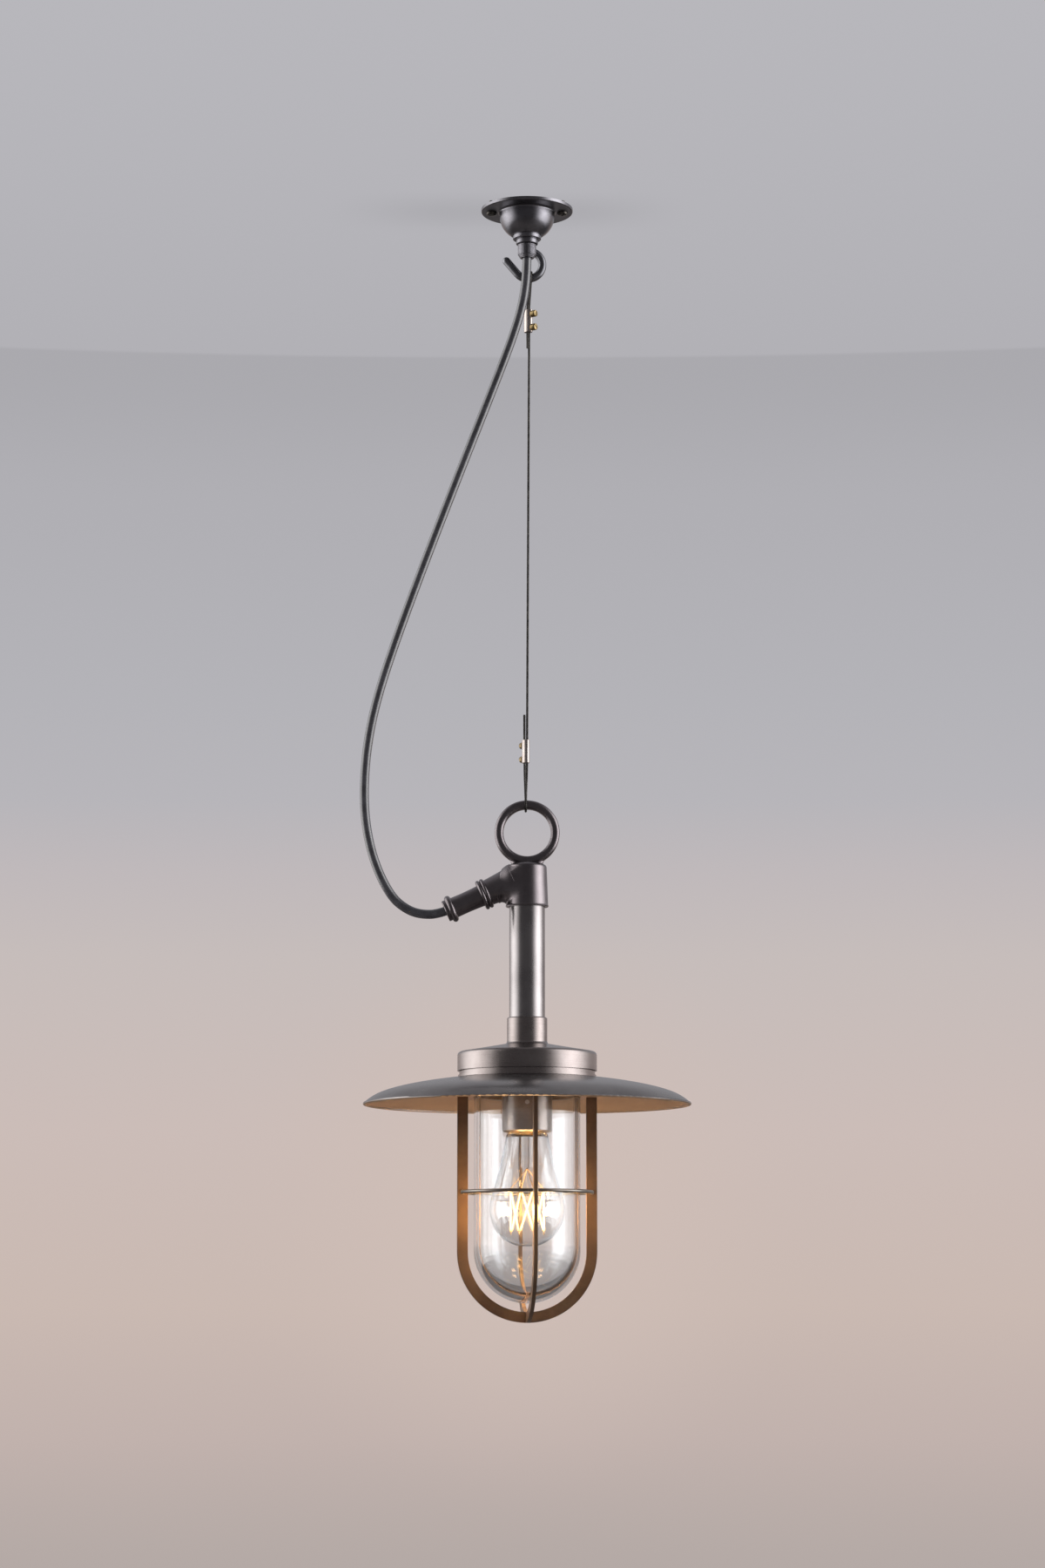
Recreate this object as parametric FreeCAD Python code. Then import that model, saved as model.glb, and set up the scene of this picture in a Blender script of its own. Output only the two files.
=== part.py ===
import FreeCAD, Part
import math
import os

from FreeCAD import Vector

# Well glass pendant light, in millimetres with +Z up. The origin is the centre of the ceiling rose's back,
# so the ceiling is the plane z = 0. X runs to the right of the photograph and Y away from the camera.

# Gaps shared by many pieces
slip = 0.1
running = 0.3
overrun = 1.0
hair = 0.01

# Turns
full_turn = 360
quarter_turn = 90
hex_sides = 6

# Ceiling rose
flange_r = 37.5
flange_t = 2.6
flange_edge = 0.9
cup_r = 22.7
cup_cove = 1.5
cup_depth = 22.0
cup_floor_r = 13.0
cup_wall = 1.5
cup_side_shares = (0.987, 0.333)
cup_curve_shares = (0.87, 0.69)
plate_margin = 4.0
plate_t = 1.2
plate_slot_w = 32.0
plate_slot_d = 11.5

# Screws that hold the rose to the ceiling
ceiling_head_gap = 0.5
ceiling_neck_r = 2.2
ceiling_shank_r = 2.0
ceiling_screw_len = 10.0
ceiling_head_r = 4.3
ceiling_head_h = 2.2

# Cord gland under the rose
rose_ring_r = 11.6
rose_ring_t = 3.6
rose_step_r = 9.0
rose_step_t = 4.0
rose_edge = 0.8
rose_thread_wall = 1.1
rose_thread_len = 5.4
rose_spigot_wall = 0.9
rose_spigot_len = 6.0
rose_seal_wall = 0.9
rose_seal_len = 9.0
rose_nut_wall = 1.3
rose_nut_len = 11.1
rose_nose_in = 1.7
rose_nose_len = 2.8
rose_locknut_flats = 15.0
rose_locknut_t = 3.0

# Terminal block and its wires
block_w = 22.0
block_d = 9.0
block_h = 8.5
block_y = -7.0
terminal_r = 1.5
terminal_h = 1.2
terminal_pitch = 7.0
core_r = 1.1
core_pitch = 2.5
core_bend_r = 4.4
core_in = 1.2
core_rise_share = 0.6
core_route = ((-9.0, -4.0), (3.0, -2.4), (7.0, -12.4), (2.0, -31.4), (0.0, -60.0))

# Flex
flex_r = 3.7
flex_fit = 0.05
flex_gap = 0.5
flex_run_share = 0.45

# Hook, bent from round bar
hook_wire_r = 3.3
hook_x = 1.0
hang_y = 15.0
hook_drop = 42.4
hook_r = 11.6
hook_neck_r = 5.0
hook_end_angle = 220.0
hook_tip_len = 14.0
hook_nut_flats = 9.6
hook_nut_t = 4.0

# Suspension rope and its two clamps
rope_r = 1.0
strand_gap = 0.4
rope_hang_out = 2.2
rope_lift = 0.33
rope_tail = 13.6
rope_low_tail = 20.4
rope_bend_r = 20.0
rope_bend_out = 2.6
clamp_long = 3.8
clamp_short = 2.9
clamp_len = 19.0
clamp_edge = 0.5
clamp_screw_pitch = 11.3
clamp_screw_r = 1.3
clamp_head_r = 2.8
clamp_head_h = 4.0
up_clamp_x = 1.05
up_clamp_drop = 80.5
up_clamp_turn = -35.0
low_clamp_x = -1.1
low_clamp_drop = 438.0
low_clamp_turn = 115.0

# Cast ring head, socket and angled arm
ring_drop = 513.7
ring_r = 22.6
ring_w = 7.2
ring_depth = 10.0
ring_round = 3.2
neck_w = 26.0
neck_flare_shares = ((0.63, 0.32, 0.3), (0.55, 0.4, 0.15), (0.5, 0.65, 0.045), (0.52, 1.05, -0.023))
socket_rise = 0.7
socket_len = 34.4
socket_wall = 1.5
socket_draft = 1.1
socket_round = 3.2
socket_lip = 0.8
socket_cavity_len = 17.0
arm_drop = 34.4
arm_angle = 24.0
arm_root = 7.0
arm_root_r = 12.4
arm_flare_at = 12.0
arm_flare_r = 14.2
arm_flare_mid = (12.8, 14.4)
arm_taper_start = 18.5
arm_taper_r = 11.9
arm_len = 34.0
arm_end_r = 10.5
arm_bore_r = 4.8
arm_blend = 2.0
bead_r = 12.4
bead_w = 3.4
bead_foot_r = 10.6

# Gland on the arm, stated along the arm's axis
gland_spigot_wall = 1.8
gland_spigot_len = 10.0
barrel_r = 8.65
barrel_waist_r = 8.2
barrel_end_r = 8.35
barrel_len = 23.0
gland_thread_wall = 1.1
gland_thread_len = 4.5
seal_wall = 1.1
seal_len = 10.5
nut_bead_r = 11.15
nut_bead_w = 5.0
nut_foot_r = 8.9
nut_disc_r = 8.7
nut_disc_t = 2.7
nut_edge = 0.5

# Stem tube
tube_r = 14.3
tube_wall = 1.5
tube_seat = 12.0
tube_shown = 88.8

# Boss that joins the tube to the cap
boss_wall = 1.8
boss_len = 21.4
boss_foot_out = 2.1
boss_foot_h = 3.0
boss_foot_shares = (0.29, 0.3)
boss_edge = 0.8
boss_floor_t = 5.0
boss_thread_in = 1.3
boss_thread_len = 8.0
boss_nut_rim = 5.0
boss_nut_t = 4.0
grub_r = 2.0
grub_len = 3.4

# Cap
cap_rim = 5.6
cap_height = 21.1
cap_fall = 5.9
cap_corner = 3.0
cap_crown_shares = (0.62, 0.42)
cap_roof_t = 3.0
cap_wall = 3.2
cap_ledge_t = 4.0
spigot_gap = 1.6
spigot_wall = 6.0
spigot_len = 13.0

# Collar ring that carries the visor
collar_h = 6.0
collar_groove = 0.7
collar_groove_rim = 3.0
collar_tier_rim = 4.1
collar_tier_h = 2.6
collar_rim = 5.0
collar_round = 0.9

# Visor, spun from sheet
visor_r = 130.0
visor_t = 1.3
visor_drop = 19.7
visor_flat_out = 1.9
visor_curve_shares = ((0.16, 0.05), (0.45, 0.22), (0.71, 0.44), (0.9, 0.72))
visor_bead_r = 1.1
visor_screws = 3
visor_screw_phase = 30.0
visor_screw_r = 1.2
visor_head_r = 1.9
visor_screw_len = 4.5

# Guard ring, ribs and hoop
guard_gap = 0.4
guard_wall = 5.8
ledge_t = 2.8
ledge_gap = 0.8
rib_w = 3.0
rib_depth = 8.4
rib_centre_drop = 1.7
rib_turn = 7.0
hoop_wire_r = 1.35
hoop_inset = 4.2
hoop_drop = 75.1

# Well glass and its gasket
glass_r = 42.4
glass_wall = 5.0
glass_base = 7.3
glass_len = 168.5
glass_flange_in = 0.7
glass_flange_t = 3.1
gasket_t = 1.8

# Lampholder and the nipple that carries it
nipple_wall = 1.1
nipple_grip = 4.0
holder_drop = 21.6
holder_r = 20.0
holder_len = 45.3
holder_wall = 0.9
holder_top_r = 9.5
holder_shoulder = 12.0
holder_lip_in = 2.4
holder_lip_h = 1.2
nipple_nut_rim = 2.0
nipple_nut_t = 2.5
insert_floor = 6.0
insert_rise = 3.4
shell_gap = 0.4
shell_wall = 1.1
shell_flange_w = 1.2
shell_flange_t = 1.2
contact_r = 4.0
contact_t = 0.8
holder_screw_r = 1.2
holder_screw_len = 2.7
holder_screw_head_r = 1.7
holder_screw_head_h = 0.8
holder_screw_rise = 23.0

# Bulb
bulb_cap_r = 13.2
bulb_cap_wall = 0.5
bulb_insulator_t = 1.5
bulb_cap_len = 20.0
bulb_cone_len = 2.4
bulb_cone_r = 6.5
bulb_contact_r = 3.6
bulb_contact_h = 1.0
bulb_r = 30.0
bulb_drop = 90.6
bulb_neck_gap = 0.2
bulb_neck_in = 6.0
bulb_shoulder_r = 17.0
bulb_shoulder_h = 4.2
bulb_wall = 0.8
bulb_tangent_angle = 13.0
bulb_side_bulge = -0.7
bulb_bend_share = 0.75
stem_r = 4.85
stem_len = 28.0
stem_flare_h = 6.0
filaments = 8
filament_r = 0.75
filament_gap = 2.8
joint_r = 0.5
filament_top_r = 14.0
filament_low_r = 14.5
filament_top_drop = 44.8
filament_low_drop = 80.3
filament_phase = 20.0
wire_r = 0.35

# Radii that follow what a piece holds, covers or lines up with
plate_r = flange_r - plate_margin
ceiling_pcd = (cup_r + cup_cove + ceiling_head_gap + ceiling_head_r) * 2
rose_bore_r = flex_r + flex_gap
rose_seal_r = rose_bore_r + rose_seal_wall
rose_spigot_r = rose_seal_r + rose_spigot_wall
rose_thread_r = rose_seal_r + rose_thread_wall
rose_nut_r = rose_thread_r + rose_nut_wall
rose_nose_r = rose_nut_r - rose_nose_in
gland_bore_r = flex_r + flex_gap
gland_spigot_r = gland_bore_r + gland_spigot_wall
seal_r = gland_bore_r + seal_wall
gland_thread_r = seal_r + gland_thread_wall
ring_out_r = ring_r + ring_w / 2
ring_in_r = ring_r - ring_w / 2
socket_top_r = tube_r + socket_wall
socket_low_r = socket_top_r + socket_draft
boss_r = tube_r + boss_wall
boss_foot_r = boss_r + boss_foot_out
boss_thread_r = tube_r - boss_thread_in
boss_nut_r = boss_thread_r + boss_nut_rim
nipple_bore_r = core_pitch + core_r + running
nipple_r = nipple_bore_r + nipple_wall
nipple_nut_flats = (nipple_r + nipple_nut_rim) * 2
spigot_in_r = glass_r + spigot_gap
spigot_r = spigot_in_r + spigot_wall
glass_flange_r = spigot_r - glass_flange_in
cap_r = spigot_r + cap_rim
collar_in_r = spigot_r + slip
collar_groove_r = spigot_r + collar_groove_rim
collar_tier_r = spigot_r + collar_tier_rim
collar_r = spigot_r + collar_rim
screw_radius_mid = (collar_in_r + collar_r) / 2
visor_flat_r = cap_r + visor_flat_out
guard_r = spigot_r + guard_wall
glass_in_r = glass_r - glass_wall
holder_lip_r = holder_r - holder_lip_in
insert_bore_r = bulb_cap_r + shell_gap + shell_wall + slip
shell_flange_r = insert_bore_r + shell_flange_w
bulb_neck_r = bulb_cap_r - bulb_cap_wall - bulb_neck_gap

# Heights worked out down the light, from the ceiling
cup_floor_z = -cup_depth
rose_ring_low_z = cup_floor_z - rose_ring_t
rose_step_low_z = rose_ring_low_z - rose_step_t
rose_thread_low_z = rose_step_low_z - rose_thread_len
rose_nut_top_z = rose_step_low_z - running
rose_mouth_z = rose_nut_top_z - rose_nut_len
rose_seal_top_z = rose_thread_low_z - slip + rose_seal_len
rose_spigot_top_z = cup_floor_z + cup_wall + rose_spigot_len
hook_z = -hook_drop
rope_loop_r = hook_wire_r + rope_r + running
rope_hang_x = hook_x + rope_hang_out
rope_hang_z = hook_z - math.sqrt(hook_r ** 2 - rope_hang_out ** 2)
strand = rope_r + strand_gap / 2
up_clamp_top_z = -up_clamp_drop
up_clamp_low_z = up_clamp_top_z - clamp_len
low_clamp_top_z = -low_clamp_drop
low_clamp_low_z = low_clamp_top_z - clamp_len
ring_z = -ring_drop
socket_top_z = ring_z - ring_out_r + socket_rise
socket_low_z = socket_top_z - socket_len
tube_top_z = socket_low_z + tube_seat
boss_top_z = socket_low_z - tube_shown
cap_top_z = boss_top_z - boss_len
boss_floor_z = cap_top_z + boss_floor_t
boss_low_z = cap_top_z - boss_thread_len
cap_low_z = cap_top_z - cap_height
cap_roof_low_z = cap_top_z - cap_roof_t
spigot_low_z = cap_low_z - spigot_len
collar_top_z = cap_low_z - slip
collar_low_z = collar_top_z - collar_h
visor_top_z = collar_low_z
guard_top_z = visor_top_z - visor_t - guard_gap
glass_top_z = spigot_low_z - slip - gasket_t
ledge_top_z = glass_top_z - glass_flange_t - slip
guard_low_z = ledge_top_z - ledge_t
glass_low_z = glass_top_z - glass_len
glass_centre_z = glass_low_z + glass_r
glass_in_centre_z = glass_low_z + glass_base + glass_in_r
rib_centre_z = glass_centre_z - rib_centre_drop
holder_top_z = cap_roof_low_z - holder_drop
holder_low_z = holder_top_z - holder_len
insert_top_z = holder_top_z - holder_shoulder - slip
insert_low_z = holder_low_z + insert_rise
shell_top_z = insert_top_z - insert_floor - slip
shell_low_z = insert_low_z - slip - shell_flange_t
bulb_low_z = holder_low_z - bulb_drop
bulb_centre_z = bulb_low_z + bulb_r
bulb_neck_low_z = holder_low_z - slip
bulb_cap_low_z = bulb_neck_low_z + slip
bulb_cap_top_z = bulb_cap_low_z + bulb_cap_len
bulb_contact_top_z = bulb_cap_top_z + bulb_cone_len + bulb_contact_h

# Stations along the arm, from the lamp's axis
arm_z = ring_z - arm_drop
bead_end = arm_len + bead_w
barrel_start = bead_end + bead_w
barrel_end = barrel_start + barrel_len
thread_end = barrel_end + gland_thread_len
nut_end = barrel_end + slip + nut_bead_w + nut_disc_t
seal_start = thread_end + slip - seal_len
flex_in = 9.5
flex_out = 5.0


# A named node, written as one STEP file.
def save(name, shape):
    shape.exportStep("parts/" + name + ".step")
    print(name, len(shape.Solids), "solids", round(shape.Volume, 1), "mm3")


def profile_point(r, z):
    return Vector(r, 0, z)


# Closed face in the XZ plane. A plain point is reached by a line, a pair by an arc through the first.
def section(start, *steps):
    here = profile_point(*start)
    edges = []
    for step in steps:
        is_arc = isinstance(step[0], tuple)
        stops = [profile_point(*stop) for stop in step] if is_arc else [profile_point(*step)]
        curve = Part.Arc(here, *stops) if is_arc else Part.LineSegment(here, *stops)
        edges.append(curve.toShape())
        here = stops[-1]
    edges.append(Part.LineSegment(here, profile_point(*start)).toShape())
    return Part.Face(Part.Wire(edges))


def spin(flat):
    return flat.revolve(Vector(0, 0, 0), Vector(0, 0, 1), full_turn)


def turned(start, *steps):
    return spin(section(start, *steps))


def rod(r, low, high):
    return Part.makeCylinder(r, high - low, Vector(0, 0, low))


def sleeve(r_out, r_in, low, high):
    return turned((r_in, low), (r_out, low), (r_out, high), (r_in, high))


# The point halfway round a quarter arc that rounds a corner, from the arc's own centre.
def corner(centre_r, centre_z, radius, out, up):
    reach = radius * math.sqrt(0.5)
    return (centre_r + out * reach, centre_z + up * reach)


def hexagon(flats, low, high, bore_r):
    points = []
    for side in range(hex_sides + 1):
        angle = math.radians(side * full_turn / hex_sides)
        points.append(Vector(math.cos(angle), math.sin(angle), 0) * (flats / math.sqrt(3)))
    prism = Part.Face(Part.makePolygon(points)).extrude(Vector(0, 0, high - low))
    prism.translate(Vector(0, 0, low))
    return prism.cut(rod(bore_r, low - overrun, high + overrun))


def moved(shape, x, y, z=0):
    shape.translate(Vector(x, y, z))
    return shape


def turn_about_z(shape, degrees):
    shape.rotate(Vector(0, 0, 0), Vector(0, 0, 1), degrees)
    return shape


# Pieces of the lamp are made on the Z axis and then moved back to the plane that the hook hangs them in.
def on_lamp(shape):
    return moved(shape, 0, hang_y)


# Pieces of the gland are made on the Z axis, with Z as the distance along the arm from the lamp's axis.
def on_arm(shape):
    shape.rotate(Vector(0, 0, 0), Vector(0, 1, 0), -(quarter_turn + arm_angle))
    return moved(shape, 0, hang_y, arm_z)


def arm_point(along, back=0):
    angle = math.radians(arm_angle)
    return Vector(-along * math.cos(angle), hang_y + back, arm_z - along * math.sin(angle))


# Straight runs joined by tangent arcs. A corner without its own radius takes its share of the shorter run.
def rounded_path(points, radii=None):
    edges = []
    bends = []
    here = points[0]
    for i in range(1, len(points) - 1):
        before = points[i] - points[i - 1]
        after = points[i + 1] - points[i]
        half = before.getAngle(after) / 2
        own = radii[i - 1] if radii else None
        radius = own or flex_run_share * min(before.Length, after.Length) / math.tan(half)
        before.normalize()
        after.normalize()
        reach = radius * math.tan(half)
        start = points[i] - before * reach
        end = points[i] + after * reach
        inward = (after - before).normalize()
        middle = points[i] + inward * (radius / math.cos(half) - radius)
        if (start - here).Length > hair:
            edges.append(Part.LineSegment(here, start).toShape())
        edges.append(Part.Arc(start, middle, end).toShape())
        bends.append(round(radius, 1))
        here = end
    edges.append(Part.LineSegment(here, points[-1]).toShape())
    return Part.Wire(edges), bends


def round_bar(points, r, radii=None):
    path, bends = rounded_path(points, radii)
    ring = Part.Wire(Part.Circle(points[0], points[1] - points[0], r).toShape())
    bar = path.makePipeShell([ring], True, False)
    print("  path", round(path.Length, 1), "mm, bends", bends)
    print("  volume", round(bar.Volume, 1), "against", round(math.pi * r * r * path.Length, 1))
    return bar


def ceiling_places():
    half = ceiling_pcd / 2
    return (-half, half)


# The rose: a spun flange and cup, recessed at the back for the fixing plate.
def ceiling_rose():
    side = (cup_r * cup_side_shares[0], -cup_depth * cup_side_shares[1])
    mid = (cup_r * cup_curve_shares[0], -cup_depth * cup_curve_shares[1])
    mid_in = (mid[0] - cup_wall * math.sqrt(0.5), mid[1] + cup_wall * math.sqrt(0.5))
    edge = corner(flange_r - flange_edge, -flange_t + flange_edge, flange_edge, 1, -1)
    cove = corner(cup_r + cup_cove, -flange_t - cup_cove, cup_cove, -1, 1)
    recess_z = -plate_t - slip
    cup = turned(
        (plate_r + slip, 0),
        (flange_r, 0),
        (flange_r, -flange_t + flange_edge),
        (edge, (flange_r - flange_edge, -flange_t)),
        (cup_r + cup_cove, -flange_t),
        (cove, (cup_r, -flange_t - cup_cove)),
        side,
        (mid, (cup_floor_r, cup_floor_z)),
        (rose_spigot_r + slip, cup_floor_z),
        (rose_spigot_r + slip, cup_floor_z + cup_wall),
        (cup_floor_r - cup_wall / 2, cup_floor_z + cup_wall),
        (mid_in, (cup_r - cup_wall, side[1])),
        (cup_r - cup_wall, recess_z),
        (plate_r + slip, recess_z),
    )
    for x in ceiling_places():
        cup = cup.cut(moved(rod(ceiling_neck_r + slip, -flange_t - overrun, overrun), x, 0))
    stem_hole = rod(hook_wire_r + running, cup_floor_z - overrun, -flange_t)
    return cup.cut(moved(stem_hole, hook_x - hook_neck_r, hang_y))


# A disc with a wide slot for the cable from the ceiling, and holes for the two screws and the hook.
def backplate():
    plate = rod(plate_r, -plate_t, 0)
    for x in ceiling_places():
        plate = plate.cut(moved(rod(ceiling_neck_r + slip, -plate_t - overrun, overrun), x, 0))
    stem_hole = rod(hook_wire_r + slip, -plate_t - overrun, overrun)
    plate = plate.cut(moved(stem_hole, hook_x - hook_neck_r, hang_y))
    slot_corner = Vector(-plate_slot_w / 2, -plate_slot_d / 2, -plate_t - overrun)
    return plate.cut(Part.makeBox(plate_slot_w, plate_slot_d, plate_t + overrun * 2, slot_corner))


# The point halfway along the side of a shallow dome that hangs under the flange.
def dome_middle(r, h):
    ball = (r * r + h * h) / (2 * h)
    half = math.asin(r / ball) / 2
    return (ball * math.sin(half), -flange_t - h + ball - ball * math.cos(half))


# A dome head, a plain neck through the flange and plate, and a shank in the ceiling.
def ceiling_screws():
    screws = []
    for x in ceiling_places():
        head = turned(
            (0, -flange_t),
            (ceiling_head_r, -flange_t),
            (dome_middle(ceiling_head_r, ceiling_head_h), (0, -flange_t - ceiling_head_h)),
        )
        neck = rod(ceiling_neck_r, -flange_t, 0)
        shank = rod(ceiling_shank_r, 0, ceiling_screw_len - flange_t)
        screws.append(moved(head.fuse([neck, shank]), x, 0))
    return Part.makeCompound(screws)


def rose_gland_body():
    low_edge = corner(rose_ring_r - rose_edge, rose_ring_low_z + rose_edge, rose_edge, 1, -1)
    step_edge = corner(rose_step_r - rose_edge, rose_step_low_z + rose_edge, rose_edge, 1, -1)
    return turned(
        (rose_bore_r, rose_spigot_top_z),
        (rose_spigot_r, rose_spigot_top_z),
        (rose_spigot_r, cup_floor_z),
        (rose_ring_r, cup_floor_z),
        (rose_ring_r, rose_ring_low_z + rose_edge),
        (low_edge, (rose_ring_r - rose_edge, rose_ring_low_z)),
        (rose_step_r, rose_ring_low_z),
        (rose_step_r, rose_step_low_z + rose_edge),
        (step_edge, (rose_step_r - rose_edge, rose_step_low_z)),
        (rose_thread_r, rose_step_low_z),
        (rose_thread_r, rose_thread_low_z),
        (rose_seal_r + slip, rose_thread_low_z),
        (rose_seal_r + slip, rose_seal_top_z + slip),
        (rose_bore_r, rose_seal_top_z + slip),
    )


def rose_gland_seal():
    return sleeve(rose_seal_r, flex_r + flex_fit, rose_thread_low_z - slip, rose_seal_top_z)


def rose_gland_nut():
    floor_z = rose_thread_low_z - slip - slip
    return turned(
        (rose_thread_r + slip, rose_nut_top_z),
        (rose_nut_r, rose_nut_top_z),
        (rose_nut_r, rose_mouth_z + rose_nose_len),
        (rose_nose_r, rose_mouth_z),
        (flex_r + running, rose_mouth_z),
        (flex_r + running, floor_z),
        (rose_thread_r + slip, floor_z),
    )


def rose_locknut():
    low = cup_floor_z + cup_wall
    return hexagon(rose_locknut_flats, low, low + rose_locknut_t, rose_spigot_r + slip)


# Hangs from the plate at the front of the cup, clear of the hook's nut.
def terminal_block():
    corner_at = Vector(-block_w / 2, block_y - block_d, -plate_t - block_h)
    return Part.makeBox(block_w, block_d, block_h, corner_at)


def terminal_screws():
    low = -plate_t - block_h
    screws = []
    for place in (-1, 0, 1):
        screw = rod(terminal_r, low - terminal_h, low)
        screws.append(moved(screw, place * terminal_pitch, block_y - block_d / 2))
    return Part.makeCompound(screws)


def rose_wires():
    wires = []
    for place in (-1, 0, 1):
        x = place * core_pitch
        points = [
            Vector(x, 0, rose_thread_low_z + core_in),
            Vector(x, 0, -plate_t - block_h * core_rise_share),
            Vector(x, block_y, -plate_t - block_h * core_rise_share),
        ]
        wires.append(round_bar(points, core_r, [core_bend_r]))
    return Part.makeCompound(wires)


# A stem, a small neck arc, a large open arc and a straight flared tip, all of one bar.
def suspension_hook():
    stem_x = hook_x - hook_neck_r
    neck_z = hook_z + hook_r + hook_neck_r
    neck_mid = Vector(hook_x - hook_neck_r * math.sqrt(0.5), hang_y, neck_z - hook_neck_r * math.sqrt(0.5))
    end = math.radians(hook_end_angle)
    mid = (end - math.pi * 1.5) / 2
    centre = Vector(hook_x, hang_y, hook_z)
    arc_end = centre + Vector(math.cos(end), 0, math.sin(end)) * hook_r
    arc_mid = centre + Vector(math.cos(mid), 0, math.sin(mid)) * hook_r
    tip = arc_end + Vector(math.sin(end), 0, -math.cos(end)) * hook_tip_len
    top = Vector(stem_x, hang_y, -slip)
    neck = Vector(stem_x, hang_y, neck_z)
    join = Vector(hook_x, hang_y, hook_z + hook_r)
    path = Part.Wire([
        Part.LineSegment(top, neck).toShape(),
        Part.Arc(neck, neck_mid, join).toShape(),
        Part.Arc(join, arc_mid, arc_end).toShape(),
        Part.LineSegment(arc_end, tip).toShape(),
    ])
    ring = Part.Wire(Part.Circle(top, Vector(0, 0, -1), hook_wire_r).toShape())
    bar = path.makePipeShell([ring], True, False)
    return bar.fuse(Part.makeSphere(hook_wire_r, tip)).removeSplitter()


def hook_nut():
    nut = hexagon(hook_nut_flats, -plate_t - hook_nut_t, -plate_t, hook_wire_r + slip)
    return moved(nut, hook_x - hook_neck_r, hang_y)


# Oval barrel with a slot for two strands side by side along Y, and two screw holes along +X.
def clamp_barrel():
    oval = Part.Ellipse(Vector(0, 0, 0), clamp_long, clamp_short)
    barrel = Part.Face(Part.Wire(oval.toShape())).extrude(Vector(0, 0, clamp_len))
    barrel = barrel.makeFillet(clamp_edge, [e for e in barrel.Edges if e.isClosed()])
    hole_r = rope_r + slip
    for side in (-1, 1):
        barrel = barrel.cut(moved(rod(hole_r, -overrun, clamp_len + overrun), 0, side * strand))
    web = Part.makeBox(hole_r * 2, strand * 2, clamp_len + overrun * 2, Vector(-hole_r, -strand, -overrun))
    barrel = barrel.cut(web)
    for z in clamp_screw_heights():
        hole = rod(clamp_screw_r + slip / 2, 0, clamp_long + overrun)
        hole.rotate(Vector(0, 0, 0), Vector(0, 1, 0), quarter_turn)
        barrel = barrel.cut(moved(hole, 0, 0, z))
    return barrel


def clamp_screw_heights():
    middle = clamp_len / 2
    return (middle - clamp_screw_pitch / 2, middle + clamp_screw_pitch / 2)


def clamp_screws():
    screws = []
    for z in clamp_screw_heights():
        screw = rod(clamp_screw_r, rope_r + slip, clamp_long)
        screw = screw.fuse(rod(clamp_head_r, clamp_long, clamp_long + clamp_head_h))
        screw.rotate(Vector(0, 0, 0), Vector(0, 1, 0), quarter_turn)
        screws.append(moved(screw, 0, 0, z))
    return Part.makeCompound(screws)


def on_upper_clamp(shape):
    return moved(turn_about_z(shape, up_clamp_turn), up_clamp_x, hang_y, up_clamp_low_z)


def on_lower_clamp(shape):
    return moved(turn_about_z(shape, low_clamp_turn), low_clamp_x, hang_y, low_clamp_low_z)


# A strand beside the middle of a clamp at this x, on one side or the other of the clamp's own turn.
def strand_at(x, turn, side, z):
    angle = math.radians(turn)
    return Vector(x - side * strand * math.sin(angle), hang_y + side * strand * math.cos(angle), z)


# One rope: a tail, over the hook, down through both clamps, round the ring and back up to a second tail.
# The upper loop slants to the place on the hook where it hangs, and its middle is a little above the bar's.
def suspension_rope():
    loop_low_z = up_clamp_top_z + rope_bend_out
    hang = Vector(rope_hang_x, hang_y, rope_hang_z)
    up = hang - Vector(up_clamp_x, hang_y, loop_low_z)
    loop_len = up.Length + rope_lift
    up.normalize()
    reach = math.hypot(strand, loop_len)
    lean = math.asin(rope_loop_r / reach) - math.atan(strand / loop_len)
    wide = rope_loop_r * math.tan(math.radians(quarter_turn) / 2 + lean / 2) + slip
    over = hang + up * (rope_loop_r + rope_lift)
    leg = ring_depth / 2 + rope_r + running
    ring_top_z = ring_z + ring_r
    under_z = ring_top_z - ring_w / 2 - rope_r - running
    leg_z = ring_top_z + rope_r
    x = low_clamp_x
    points = [
        strand_at(up_clamp_x, up_clamp_turn, -1, up_clamp_low_z - rope_tail),
        strand_at(up_clamp_x, up_clamp_turn, -1, loop_low_z),
        over - Vector(0, wide, 0),
        over + Vector(0, wide, 0),
        strand_at(up_clamp_x, up_clamp_turn, 1, loop_low_z),
        strand_at(up_clamp_x, up_clamp_turn, 1, up_clamp_low_z - rope_bend_out),
        strand_at(x, low_clamp_turn, -1, low_clamp_top_z + rope_bend_out),
        strand_at(x, low_clamp_turn, -1, low_clamp_low_z - rope_bend_out),
        Vector(x, hang_y + leg, leg_z),
        Vector(x, hang_y + leg, under_z),
        Vector(x, hang_y - leg, under_z),
        Vector(x, hang_y - leg, leg_z),
        strand_at(x, low_clamp_turn, 1, low_clamp_low_z - rope_bend_out),
        strand_at(x, low_clamp_turn, 1, low_clamp_top_z + rope_low_tail),
    ]
    hug = ring_round + rope_r + running
    gentle = rope_bend_r
    radii = [gentle, rope_loop_r, rope_loop_r, gentle, gentle, gentle, gentle, hug, hug, hug, hug, gentle]
    return round_bar(points, rope_r, radii)


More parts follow.
